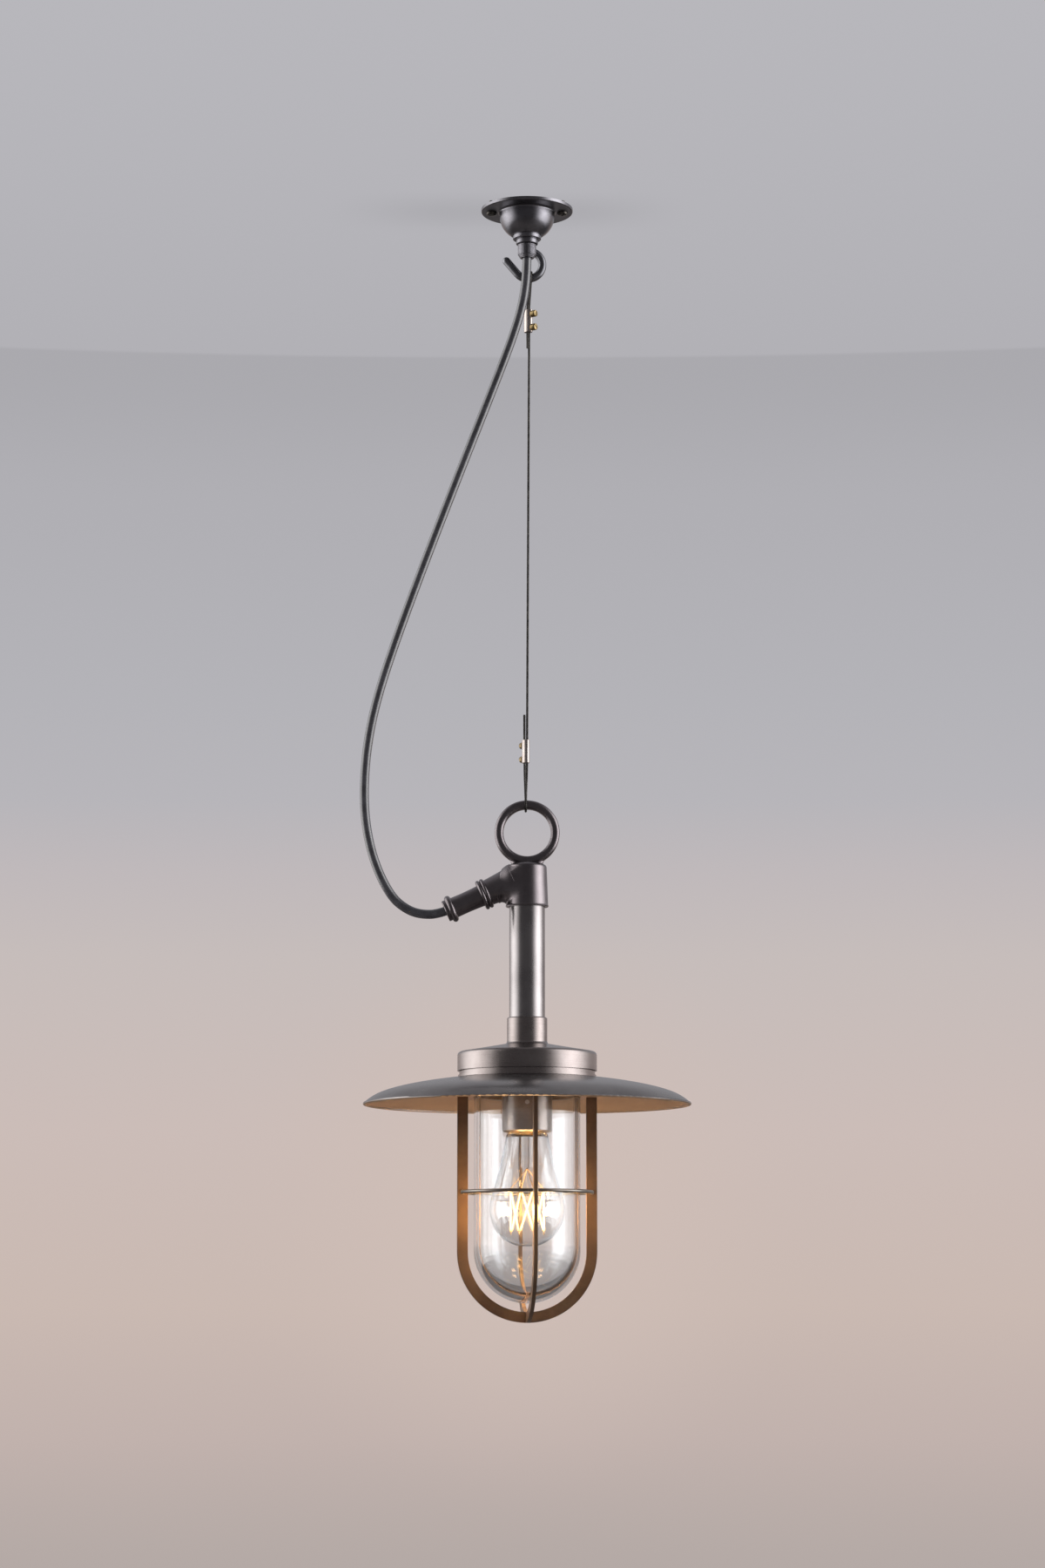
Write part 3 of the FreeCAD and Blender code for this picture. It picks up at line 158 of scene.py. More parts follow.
metalLooks = {
    "agedBrass": {"dark": (0.15, 0.132, 0.140), "light": (0.205, 0.185, 0.193), "rough": 0.30,
                  "spread": 0.10, "cloud": 38, "lines": "none", "bump": 0.012},
    "turnedBrass": {"dark": (0.215, 0.186, 0.18), "light": (0.30, 0.268, 0.26), "rough": 0.28,
                    "spread": 0.12, "cloud": 30, "lines": "round", "bump": 0.03},
    "tubeBrass": {"dark": (0.225, 0.209, 0.211), "light": (0.305, 0.287, 0.289), "rough": 0.27,
                  "spread": 0.12, "cloud": 26, "lines": "along", "bump": 0.03},
    "visorBrass": {"dark": (0.187, 0.174, 0.171), "light": (0.268, 0.253, 0.247), "rough": 0.26,
                   "spread": 0.12, "cloud": 22, "lines": "round", "bump": 0.03, "dullUnderSideWithPaintedGlow": dullUnderSideWithPaintedGlow},
    "roseBrass": {"dark": (0.135, 0.132, 0.146), "light": (0.217, 0.212, 0.232), "rough": 0.30,
                  "spread": 0.14, "cloud": 60, "lines": "none", "bump": 0.025},
    "guardBrass": {"dark": (0.078, 0.05, 0.035), "light": (0.135, 0.088, 0.058), "rough": 0.42, "metal": 0.6,
                   "spread": 0.16, "cloud": 45, "lines": "none", "bump": 0.04, "ribPaintedGlowAndBackDark": guardPaintedGlowAndBackDark},
    "hoopBrass": {"dark": (0.16, 0.145, 0.13), "light": (0.28, 0.255, 0.23), "rough": 0.33,
                  "spread": 0.14, "cloud": 70, "lines": "none", "bump": 0.06},
    "holderBrass": {"dark": (0.19, 0.163, 0.150), "light": (0.28, 0.243, 0.225), "rough": 0.32,
                    "spread": 0.10, "cloud": 50, "lines": "round", "bump": 0.04},
    "brightBrass": {"dark": (0.68, 0.47, 0.18), "light": (0.86, 0.64, 0.29), "rough": 0.22,
                    "spread": 0.12, "cloud": 160, "lines": "none", "bump": 0.04},
    "clampBrass": {"dark": (0.22, 0.16, 0.075), "light": (0.42, 0.315, 0.16), "rough": 0.24,
                   "spread": 0.12, "cloud": 160, "lines": "none", "bump": 0.03},
    "wornScrew": {"dark": (0.05, 0.046, 0.042), "light": (0.13, 0.12, 0.108), "rough": 0.34,
                  "spread": 0.14, "cloud": 200, "lines": "none", "bump": 0.06},
    "nickelBrass": {"dark": (0.40, 0.35, 0.325), "light": (0.50, 0.45, 0.42), "rough": 0.34,
                    "spread": 0.14, "cloud": 120, "lines": "none", "bump": 0.05},
    "dullSteel": {"dark": (0.122, 0.123, 0.134), "light": (0.19, 0.19, 0.207), "rough": 0.32,
                  "spread": 0.10, "cloud": 90, "lines": "none", "bump": 0.025},
    "ropeSteel": {"dark": (0.03, 0.028, 0.027), "light": (0.085, 0.08, 0.075), "rough": 0.48,
                  "spread": 0.14, "cloud": 160, "lines": "none", "bump": 0.04},
    "zincSteel": {"dark": (0.5, 0.5, 0.49), "light": (0.66, 0.66, 0.64), "rough": 0.33,
                  "spread": 0.12, "cloud": 90, "lines": "none", "bump": 0.04},
    "leadWire": {"dark": (0.62, 0.42, 0.2), "light": (0.8, 0.58, 0.32), "rough": 0.28,
                 "spread": 0.08, "cloud": 300, "lines": "none", "bump": 0.02},
    "silverBraze": {"dark": (0.46, 0.41, 0.34), "light": (0.74, 0.69, 0.60), "rough": 0.42,
                    "spread": 0.2, "cloud": 420, "lines": "none", "bump": 0.2},
    "solder": {"dark": (0.5, 0.5, 0.48), "light": (0.68, 0.68, 0.65), "rough": 0.38,
               "spread": 0.1, "cloud": 300, "lines": "none", "bump": 0.05},
}
# Noises are given as scale, detail and roughness; the scale of the clouds is each metal's own.
metalGrain = {
    "cloud": (6.0, 0.62), "speck": (1100, 3.0, 0.6), "lines": (900, 2.0, 0.7), "drawn": (1.0, 1.0, 0.03),
    "cloudShare": 0.82, "lineShare": 0.18, "patina": (0.34, 0.68), "lineGloss": 0.03,
    "cloudHeight": 0.35, "lineHeight": 0.65, "depth": 0.0004,
}


def metalFinish(name):
    look, grain = metalLooks[name], metalGrain
    bench = Bench(bpy.data.materials.new(name))
    place = bench.node("ShaderNodeTexCoord", out=3)
    onAxis = {"Vector": place, "Location": (-lampAxis[0], -lampAxis[1], 0)}
    centred = bench.node("ShaderNodeMapping", {}, onAxis)
    x, y, z = bench.axes(centred)
    cloud = bench.noise(centred, look["cloud"], *grain["cloud"])
    if look["lines"] == "round":               # fine rings left by the lathe
        radius = (x * x + y * y) ** 0.5
        ringPlace = bench.node("ShaderNodeCombineXYZ", {}, {"X": radius, "Y": 0.0, "Z": z})
        lines = bench.noise(ringPlace, *grain["lines"])
    elif look["lines"] == "along":             # long scratches left by drawing the tube
        drawn = bench.node("ShaderNodeMapping", {}, {"Vector": centred, "Scale": grain["drawn"]})
        lines = bench.noise(drawn, *grain["lines"])
    else:                                      # only a fine speckle
        lines = bench.noise(centred, *grain["speck"])
    patina = (cloud * grain["cloudShare"] + lines * grain["lineShare"]).ease(*grain["patina"])
    colour = bench.blend(patina, opaque(look["dark"]), opaque(look["light"]))
    rough = (look["rough"] + (cloud - noiseMiddle) * look["spread"]
             + (lines - noiseMiddle) * grain["lineGloss"])
    metal = look.get("metal", 1.0)
    # painted glow: ribs near the lamp's height are blended towards brown, less on the right; then the back
    # rib is darkened
    if "ribPaintedGlowAndBackDark" in look:
        ribPaintedGlowAndBackDark = look["ribPaintedGlowAndBackDark"]
        beside = 1.0 - abs(z - ribPaintedGlowAndBackDark["z"]).ease(*ribPaintedGlowAndBackDark["reach"])
        leftward = 1.0 - x.ease(*ribPaintedGlowAndBackDark["right"]) * ribPaintedGlowAndBackDark["rightLess"]
        paintedGlow = beside * leftward * (patina * ribPaintedGlowAndBackDark["patinaShare"] + ribPaintedGlowAndBackDark["least"])
        colour = bench.blend(paintedGlow, colour, opaque(ribPaintedGlowAndBackDark["paintedGlow"]))
        colour = bench.blend(y.ease(*ribPaintedGlowAndBackDark["back"]) * ribPaintedGlowAndBackDark["backDarkShare"], colour, opaque(ribPaintedGlowAndBackDark["backDark"]))
    # painted glow: faces turned down take a warm colour for the lamp's light, and are made rougher and less
    # metallic
    if "dullUnderSideWithPaintedGlow" in look:
        side = look["dullUnderSideWithPaintedGlow"]
        upward = bench.axes(bench.node("ShaderNodeNewGeometry", out=1))[2]
        below = (0.0 - upward).ease(*side["facing"])
        colour = bench.blend(below, colour, opaque(side["colour"]))
        rough = rough + below * side["rough"]
        metal = 1.0 - below * side["lessMetal"]
    height = cloud * grain["cloudHeight"] + lines * grain["lineHeight"]
    shader = bench.node("ShaderNodeBsdfPrincipled", {}, {
        "Base Color": colour, "Roughness": rough, "Metallic": metal,
        "Normal": bench.bump(look["bump"], grain["depth"], height)})
    bench.finish(shader)
    return bpy.data.materials[name]


# The rose's nut is fluted round its side and threaded at its nose.

flutes = {
    "count": 46, "pitch": 0.9 * mm, "cloud": (90, 5.0, 0.6), "patina": (0.35, 0.65),
    "rough": 0.33, "spread": 0.15, "bump": 0.5, "depth": 0.0003, "ridgeHeight": 0.3, "ringHeight": 0.5,
}


def flutedFinish(name):
    look = metalLooks["roseBrass"]
    bench = Bench(bpy.data.materials.new(name))
    place = bench.node("ShaderNodeTexCoord", out=3)
    x, y, z = bench.axes(place)
    ridge = (y.turnFrom(x) * flutes["count"]).sine()
    ring = (z * (2 * math.pi / flutes["pitch"])).sine()
    cloud = bench.noise(place, *flutes["cloud"])
    colour = bench.blend(cloud.ease(*flutes["patina"]), opaque(look["dark"]), opaque(look["light"]))
    height = ridge * flutes["ridgeHeight"] + ring * flutes["ringHeight"]
    shader = bench.node("ShaderNodeBsdfPrincipled", {}, {
        "Base Color": colour, "Metallic": 1.0,
        "Roughness": flutes["rough"] + (cloud - noiseMiddle) * flutes["spread"],
        "Normal": bench.bump(flutes["bump"], flutes["depth"], height)})
    bench.finish(shader)
    return bpy.data.materials[name]


# Rubber, plastic, porcelain and the sheaths of the cores.

softLooks = {
    "flexRubber": {"dark": (0.034, 0.033, 0.040), "light": (0.058, 0.057, 0.068), "rough": 0.25,
                   "scale": 120, "bump": 0.006, "dense": 1.8},
    "sealRubber": {"dark": (0.012, 0.012, 0.012), "light": (0.03, 0.03, 0.03), "rough": 0.6,
                   "scale": 200, "bump": 0.08},
    "coreSheath": {"dark": (0.3, 0.16, 0.06), "light": (0.42, 0.25, 0.1), "rough": 0.45,
                   "scale": 200, "bump": 0.02},
    "whitePlastic": {"dark": (0.68, 0.66, 0.6), "light": (0.8, 0.78, 0.73), "rough": 0.42,
                     "scale": 150, "bump": 0.03},
    "porcelain": {"dark": (0.72, 0.7, 0.64), "light": (0.84, 0.82, 0.77), "rough": 0.16,
                  "scale": 90, "bump": 0.02},
    "blackGlass": {"dark": (0.01, 0.01, 0.012), "light": (0.03, 0.03, 0.035), "rough": 0.12,
                   "scale": 200, "bump": 0.03},
}
softGrain = {
    "cloud": (5.0, 0.6), "speck": (1800, 2.0, 0.6), "patina": (0.35, 0.65), "spread": 0.12, "dense": 1.5,
    "speckHeight": 0.6, "cloudHeight": 0.4, "depth": 0.0003,
}


def softFinish(name):
    look, grain = softLooks[name], softGrain
    bench = Bench(bpy.data.materials.new(name))
    place = bench.node("ShaderNodeTexCoord", out=3)
    cloud = bench.noise(place, look["scale"], *grain["cloud"])
    speck = bench.noise(place, *grain["speck"])
    colour = bench.blend(cloud.ease(*grain["patina"]), opaque(look["dark"]), opaque(look["light"]))
    height = speck * grain["speckHeight"] + cloud * grain["cloudHeight"]
    shader = bench.node("ShaderNodeBsdfPrincipled", {}, {
        "Base Color": colour, "Roughness": look["rough"] + (cloud - noiseMiddle) * grain["spread"],
        "IOR": look.get("dense", grain["dense"]), "Normal": bench.bump(look["bump"], grain["depth"], height)})
    bench.finish(shader)
    return bpy.data.materials[name]


# Glass: clear, a little wavy as blown glass is, and it lets the lamp's light through.

glassLooks = {
    "wellGlass": {"tint": (0.965, 0.985, 1.0), "through": (0.95, 0.96, 0.96), "wave": 14,
                  "bump": 0.10, "rough": 0.0},
    "bulbGlass": {"tint": (0.99, 0.99, 0.985), "through": (0.97, 0.97, 0.965), "wave": 30,
                  "bump": 0.05, "rough": 0.0},
    "stemGlass": {"tint": (0.97, 0.965, 0.95), "through": (0.9, 0.89, 0.87), "wave": 120,
                  "bump": 0.3, "rough": 0.02},
}
glassGrain = {"wave": (2.0, 0.5), "depth": 0.002, "dense": 1.5}


def glassFinish(name):
    look, grain = glassLooks[name], glassGrain
    bench = Bench(bpy.data.materials.new(name))
    place = bench.node("ShaderNodeTexCoord", out=3)
    wave = bench.noise(place, look["wave"], *grain["wave"])
    solid = bench.node("ShaderNodeBsdfPrincipled", {}, {
        "Base Color": opaque(look["tint"]), "Roughness": look["rough"], "IOR": grain["dense"],
        "Transmission Weight": 1.0, "Normal": bench.bump(look["bump"], grain["depth"], wave)})
    clear = bench.node("ShaderNodeBsdfTransparent", {}, {"Color": opaque(look["through"])})
    shadowRay = bench.node("ShaderNodeLightPath", out=1)
    bench.finish(bench.node("ShaderNodeMixShader", {}, {0: shadowRay, 1: solid, 2: clear}))
    return bpy.data.materials[name]


# Lit filaments: pale gold along the rod, deeper gold at its ends.

filamentLook = {
    "middleZ": -0.8162, "half": 0.0155, "endShare": 0.86, "ends": (0.16, 0.055, 0.01),
    "hot": (1.0, 0.64, 0.24), "bead": (0.9, 0.58, 0.27), "beads": (900, 1.0, 0.5), "beadEase": (0.3, 0.6),
    "rod": (0.9, 0.7, 0.3), "rough": 0.5, "strength": 2.0,
}


def filamentFinish(name):
    look = filamentLook
    bench = Bench(bpy.data.materials.new(name))
    place = bench.node("ShaderNodeTexCoord", out=3)
    away = abs(bench.axes(place)[2] - look["middleZ"])
    edge = away.ease(look["half"] * look["endShare"], look["half"])
    bead = bench.noise(place, *look["beads"]).ease(*look["beadEase"])
    rod = bench.blend(bead, opaque(look["bead"]), opaque(look["hot"]))
    shader = bench.node("ShaderNodeBsdfPrincipled", {}, {
        "Base Color": opaque(look["rod"]), "Roughness": look["rough"],
        "Emission Color": bench.blend(edge, rod, opaque(look["ends"])),
        "Emission Strength": look["strength"]})
    bench.finish(shader)
    return bpy.data.materials[name]


materials = {name: metalFinish(name) for name in metalLooks}
materials.update({name: softFinish(name) for name in softLooks})
materials.update({name: glassFinish(name) for name in glassLooks})
materials["filament"] = filamentFinish("filament")
materials["flutedBrass"] = flutedFinish("flutedBrass")

nodeFinish = {
    "ceiling_rose": "roseBrass", "rose_backplate": "zincSteel", "ceiling_screws": "wornScrew",
    "rose_gland_body": "roseBrass", "rose_gland_seal": "sealRubber", "rose_gland_nut": "flutedBrass",
    "rose_locknut": "agedBrass", "terminal_block": "whitePlastic", "terminal_screws": "brightBrass",
    "rose_wires": "coreSheath", "suspension_hook": "dullSteel", "hook_nut": "zincSteel",
    "upper_rope_clamp": "nickelBrass", "upper_clamp_screws": "clampBrass",
    "lower_rope_clamp": "nickelBrass", "lower_clamp_screws": "clampBrass",
    "ring_head": "agedBrass", "gland_body": "agedBrass", "gland_seal": "sealRubber", "gland_nut": "agedBrass",
    "stem_tube": "tubeBrass", "lamp_wires": "coreSheath",
    "stem_boss": "turnedBrass", "boss_nut": "turnedBrass",
    "grub_screws": "zincSteel", "cap": "turnedBrass", "collar_ring": "turnedBrass", "visor": "visorBrass",
    "visor_screws": "wornScrew", "holder_nipple": "zincSteel", "nipple_nuts": "zincSteel",
    "lampholder_shell": "holderBrass", "lampholder_insert": "porcelain", "lampholder_thread": "brightBrass",
    "lampholder_contact": "brightBrass", "lampholder_screw": "zincSteel", "well_glass": "wellGlass",
    "glass_gasket": "sealRubber", "guard_ring": "guardBrass", "guard_ribs": "guardBrass",
    "guard_hoop": "hoopBrass", "bulb_glass": "bulbGlass", "bulb_cap": "brightBrass",
    "bulb_insulator": "blackGlass", "bulb_contact": "solder", "bulb_stem": "stemGlass",
    "bulb_filaments": "filament", "bulb_wires": "leadWire",
}
for nodeName, finishName in nodeFinish.items():
    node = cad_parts[nodeName]
    node.data.materials.clear()
    node.data.materials.append(materials[finishName])
print("stage 2: finishes made and given to the nodes")


# Small helpers for pieces.

def alone(piece):
    if bpy.context.mode != "OBJECT":
        bpy.ops.object.mode_set(mode="OBJECT")
    bpy.ops.object.select_all(action="DESELECT")
    piece.select_set(True)
    bpy.context.view_layer.objects.active = piece


def linked(name, data):
    piece = bpy.data.objects.new(name, data)
    bpy.context.scene.collection.objects.link(piece)
    return piece


def settle(piece, matrix):                     # the place goes into the mesh, the object stays at the origin
    piece.data.transform(matrix)
    piece.matrix_world = Matrix.Identity(4)


def pickFaces(piece, wanted):
    bpy.ops.object.mode_set(mode="EDIT")
    bpy.ops.mesh.select_mode(type="FACE")
    bpy.ops.mesh.select_all(action="DESELECT")
    bpy.ops.object.mode_set(mode="OBJECT")
    for face in piece.data.polygons:
        face.select = wanted(face)
    bpy.ops.object.mode_set(mode="EDIT")


def joined(pieces, name):
    alone(pieces[0])
    for piece in pieces:
        piece.select_set(True)
    if len(pieces) > 1:
        bpy.ops.object.join()
    whole = bpy.context.object
    whole.name = name
    return whole


def dress(piece, finish, slot, *nodes):
    piece.data.materials.clear()
    piece.data.materials.append(materials[finish])
    if nodes:
        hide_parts(*nodes)


def outwardMatrix(seat, outward, turn):        # the piece's own z comes to point outward from the seat
    facing = Vector(outward).to_track_quat("Z", "Y").to_matrix().to_4x4()
    return Matrix.Translation(seat) @ facing @ Matrix.Rotation(turn, 4, "Z")


# The camera stands where the photograph's stood.

camera = {"lens": 83.6, "sensor": 36, "place": (-0.0037, -2.8875, -0.8989), "pitch": 8.33, "farEnd": 60}


def placeCamera():
    bpy.ops.object.camera_add(location=camera["place"], rotation=(math.radians(90 + camera["pitch"]), 0, 0))
    eye = bpy.context.object
    eye.data.lens = camera["lens"]
    eye.data.sensor_fit = "AUTO"
    eye.data.sensor_width = camera["sensor"]
    eye.data.clip_end = camera["farEnd"]
    bpy.context.scene.camera = eye


placeCamera()


# The flex: one rubber lead in two lengths that meet on a straight stretch, one for each swing. Points in mm.

flex = {
    "radius": 3.7 * mm,
    "lengths": [
        {"name": "flexUpper", "bodies": ("rose", "suspension"),
         "start": (0, 0, -0.045), "end": (-0.110, 0.006, -0.380),
         "points": [(0, 0, -34), (0, 0, -51.5), (-3, 0, -77.5), (-10.5, 0, -104.5), (-24.2, 0.4, -141.5),
                    (-51.4, 1.4, -211.5), (-84.9, 3.5, -299.5), (-115.2, 6.5, -384), (-127.5, 8.8, -432),
                    (-129.5, 9.7, -453)]},
        {"name": "flexLower", "bodies": ("suspension", "lamp"),
         "start": (-0.1305, 0.0102, -0.4635), "end": (-0.085, 0.0149, -0.5797),
         "points": [(-129.5, 9.7, -453), (-131.5, 10.6, -474), (-130, 12, -507.5), (-122.5, 13.2, -539),
                    (-109.5, 14.2, -565), (-97, 14.7, -575.5), (-85, 14.9, -579.7), (-69.98, 15, -579.26),
                    (-56.73, 15, -573.36)]},
    ],
}


def leadCurve(name, points, radius):
    curve = bpy.data.curves.new(name, "CURVE")
    curve.dimensions = "3D"
    spline = curve.splines.new("NURBS")
    spline.points.add(len(points) - 1)
    for point, place in zip(spline.points, points):
        point.co = (*[value * mm for value in place], 1.0)
    spline.order_u = 3
    spline.use_endpoint_u = True
    spline.resolution_u = 16
    curve.bevel_depth = radius
    curve.bevel_resolution = 8
    curve.use_fill_caps = True
    return linked(name, curve)


def splineLine(points):                        # points read from the lead's own smooth spline
    guide = leadCurve("guide", points, 0)
    guide.data.use_fill_caps = False
    depsgraph = bpy.context.evaluated_depsgraph_get()
    mesh = bpy.data.meshes.new_from_object(guide.evaluated_get(depsgraph))
    line = [vertex.co.copy() for vertex in mesh.vertices]
    bpy.data.meshes.remove(mesh)
    bpy.data.objects.remove(guide)
    return line


def lineLength(line):
    return sum((b - a).length for a, b in zip(line, line[1:]))


def makeFlex():
    for lead in flex["lengths"]:
        line = splineLine(lead["points"])
        piece = leadCurve(lead["name"], lead["points"], flex["radius"])
        alone(piece)
        bpy.ops.object.convert(target="MESH")
        piece = bpy.context.object
        bpy.ops.object.shade_smooth_by_angle(angle=math.radians(40))
        dress(piece, "flexRubber", "black_rubber", "flex")
        print(lead["name"], "line", round(lineLength(line), 4))
        round(lineLength(line), 3)
        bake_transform(piece)


makeFlex()


# The wire rope: six strands twisted round its line. Points in mm, from the upper tail to the lower.

rope = {
    "strands": 6, "strandRadius": 0.39 * mm, "layRadius": 0.61 * mm, "pitch": 9.0 * mm, "stepsPerTurn": 9,
    "pathEvery": 4,
    "line": [(0.36, 14.02, -113.1), (0.36, 14.02, -83), (0.36, 14.02, -77.9), (2.42, 11.25, -59.7),
             (3.64, 9.61, -48.88), (3.64, 20.39, -48.88), (2.93, 18.74, -59.7), (1.74, 15.98, -77.9),
             (1.74, 15.98, -83), (1.74, 15.98, -102.1), (-0.01, 15.51, -435.4), (-0.01, 15.51, -459.6),
             (-0.85, 20.6, -480.9), (-1.1, 21.3, -490.1), (-1.1, 21.3, -496.0), (-1.1, 8.7, -496.0),
             (-1.1, 8.7, -490.1), (-1.35, 9.4, -480.9), (-2.19, 14.49, -459.6), (-2.19, 14.49, -417.6)],
}


def evenly(line, step):
    walked = [line[0]]
    left = step
    for start, end in zip(line, line[1:]):
        length = (end - start).length
        at = 0.0
        while length - at >= left:
            at += left
            left = step
            walked.append(start.lerp(end, at / length))
        left -= length - at
    walked.append(line[-1])
    return walked


def makeRope():
    line = evenly(splineLine(rope["line"]), rope["pitch"] / rope["stepsPerTurn"])
    frames = []
    side = Vector((1, 0, 0))
    for here, ahead in zip(line, line[1:] + [line[-1] * 2 - line[-2]]):
        along = (ahead - here).normalized() if (ahead - here).length > 1e-9 else frames[-1][2]
        side = (side - along * side.dot(along)).normalized()
        frames.append((here, side.copy(), along, along.cross(side)))
    strands = []
    for strand in range(rope["strands"]):
        curve = bpy.data.curves.new("strand", "CURVE")
        curve.dimensions = "3D"
        spline = curve.splines.new("POLY")
        spline.points.add(len(frames) - 1)
        for step, (here, side, along, across) in enumerate(frames):
            turn = 2 * math.pi * (strand / rope["strands"] + step / rope["stepsPerTurn"])
            spot = here + (side * math.cos(turn) + across * math.sin(turn)) * rope["layRadius"]
            spline.points[step].co = (*spot, 1.0)
        curve.bevel_depth = rope["strandRadius"]
        curve.bevel_resolution = 1
        curve.use_fill_caps = True
        alone(linked("strand", curve))
        bpy.ops.object.convert(target="MESH")
        strands.append(bpy.context.object)
    whole = joined(strands, "twistedRope")
    bpy.ops.object.shade_smooth()
    dress(whole, "ropeSteel", "rope_steel", "suspension_rope")
    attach(whole, "suspension")
    walked = [frames[i][0] for i in range(0, len(frames), rope["pathEvery"])] + [frames[-1][0]]
    print("rope line", round(lineLength(walked), 4))


makeRope()
print("stage 3: camera, flex and rope in place")


# Screws with slotted heads. Sizes and places in mm, turns of the slots in degrees.

screwSizes = {
    "ceiling": {"head": 4.3, "high": 2.2, "round": 1.9, "shank": 2.0, "long": 10.0, "slot": 1.0, "deep": 1.0},
    "clamp": {"head": 2.8, "high": 4.0, "round": 0.7, "shank": 1.3, "long": 2.6, "slot": 0.7, "deep": 1.1},
    "visor": {"head": 1.9, "high": 0.5, "round": 0.15, "shank": 1.2, "long": 5.3, "slot": 0.5, "deep": 0.3},
    "holder": {"head": 1.7, "high": 0.8, "round": 0.25, "shank": 1.2, "long": 2.6,
               "slot": 0.45, "deep": 0.35},
    "terminal": {"head": 1.5, "high": 1.2, "round": 0.2, "shank": 1.2, "long": 0.4,
                 "slot": 0.45, "deep": 0.5},
    "grub": {"head": 1.9, "high": 3.4, "round": 0.2, "shank": 1.5, "long": 0.3, "slot": 0.6, "deep": 0.9},
}
# The slot's cutter stands above the head and is some head radii wide. Faces are picked by how they face.
screwBuild = {"sides": 48, "roundSteps": 5, "facing": 0.9, "above": 1.0, "wide": 4, "smooth": 35}
down, forward, backward = (0, 0, -1), (0, -1, 0), (0, 1, 0)

screwPlaces = {
    "rose": [((-29, 0, -2.6), down, 25), ((29, 0, -2.6), down, 70)],
    "clamps": [
        {"name": "upperClampScrews", "node": "upper_clamp_screws",
         "x": 1.05, "z": -90, "facing": -35, "turn": 20},
        {"name": "lowerClampScrews", "node": "lower_clamp_screws",
         "x": -1.1, "z": -447.5, "facing": 115, "turn": 35},
    ],
    "clampSeat": 3.8, "clampHalf": 5.65, "clampTurn": 55,
    "visor": {"count": 3, "radius": 52.55, "z": -711.8, "first": 30, "turn": 40},
    "holder": [((0, -5, -730.7), forward, 60)],
    "terminal": [((x, -11.5, -9.7), down, 30 + 9 * x) for x in (-7, 0, 7)],
    "grubs": [((0, 29.3, z), backward, 40) for z in (-567.6, -668.4)],
}


def slottedScrew(kind):                        # made head up on the origin, where the head meets its seat
    size, build = screwSizes[kind], screwBuild
    bpy.ops.mesh.primitive_cylinder_add(vertices=build["sides"], radius=size["head"] * mm,
                                        depth=size["high"] * mm, location=(0, 0, size["high"] * mm / 2))
    screw = bpy.context.object
    alone(screw)
    bpy.ops.object.transform_apply(location=True)
    pickFaces(screw, lambda face: face.normal.z > build["facing"])
    bpy.ops.mesh.bevel(offset=size["round"] * mm, segments=build["roundSteps"], profile=0.5, affect="EDGES")
    pickFaces(screw, lambda face: face.normal.z < -build["facing"] and face.center.z < size["deep"] * mm / 2)
    bpy.ops.mesh.inset(thickness=(size["head"] - size["shank"]) * mm)
    bpy.ops.mesh.extrude_region_move(TRANSFORM_OT_translate={"value": (0, 0, -size["long"] * mm)})
    bpy.ops.object.mode_set(mode="OBJECT")
    middle = (size["high"] - size["deep"] / 2 + build["above"] / 2) * mm
    bpy.ops.mesh.primitive_cube_add(size=1, location=(0, 0, middle))
    slot = bpy.context.object
    slot.scale = (size["head"] * build["wide"] * mm, size["slot"] * mm, (size["deep"] + build["above"]) * mm)
    alone(screw)
    cut = screw.modifiers.new("slot", "BOOLEAN")
    cut.operation = "DIFFERENCE"
    cut.solver = "EXACT"
    cut.object = slot
    bpy.ops.object.modifier_apply(modifier="slot")
    bpy.data.objects.remove(slot)
    bpy.ops.object.shade_smooth_by_angle(angle=math.radians(build["smooth"]))
    return screw


def screwSet(name, kind, finish, body, slot, node, places):
    first = slottedScrew(kind)
    screws = []
    for seat, outward, turn in places:
        screw = linked(name, first.data.copy())
        settle(screw, outwardMatrix(Vector(seat) * mm, outward, math.radians(turn)))
        screws.append(screw)
    bpy.data.objects.remove(first)
    whole = joined(screws, name)
    dress(whole, finish, slot, node)
    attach(whole, body)


def clampPair(clamp):
    out = (math.cos(math.radians(clamp["facing"])), math.sin(math.radians(clamp["facing"])), 0)
    seat, half, turned = screwPlaces["clampSeat"], screwPlaces["clampHalf"], screwPlaces["clampTurn"]
    return [((clamp["x"] + seat * out[0], lampY + seat * out[1], clamp["z"] + up * half), out,
             clamp["turn"] + up * turned) for up in (-1, 1)]


def visorRing():
    ring = screwPlaces["visor"]
    around = []
    for place in range(ring["count"]):
        angle = math.radians(ring["first"] + 360 / ring["count"] * place)
        seat = (ring["radius"] * math.cos(angle), lampY + ring["radius"] * math.sin(angle), ring["z"])
        around.append((seat, down, ring["turn"] * place))
    return around


def makeScrews():
    screwSet("roseScrews", "ceiling", "wornScrew", "rose", "aged_brass_screw", "ceiling_screws",
             screwPlaces["rose"])
    for clamp in screwPlaces["clamps"]:
        screwSet(clamp["name"], "clamp", "clampBrass", "suspension", "bright_brass", clamp["node"],
                 clampPair(clamp))
    screwSet("visorScrews", "visor", "wornScrew", "lamp", "aged_brass_screw", "visor_screws", visorRing())
    screwSet("holderScrew", "holder", "zincSteel", "lamp", "zinc_steel", "lampholder_screw",
             screwPlaces["holder"])
    screwSet("terminalHeads", "terminal", "brightBrass", "rose", "bright_brass", "terminal_screws",
             screwPlaces["terminal"])
    screwSet("grubs", "grub", "zincSteel", "lamp", "zinc_steel", "grub_screws", screwPlaces["grubs"])


makeScrews()
print("stage 4: screws in place")


# Brazed joints where the hoop passes through the ribs. Sizes in mm.

braze = {
    "count": 4, "hoopRadius": 51.6, "height": -800.9, "firstTurn": 7, "size": 2.3,
    "stretch": (0.85, 1.25, 0.95), "rough": 0.45, "grain": 1.4,
}


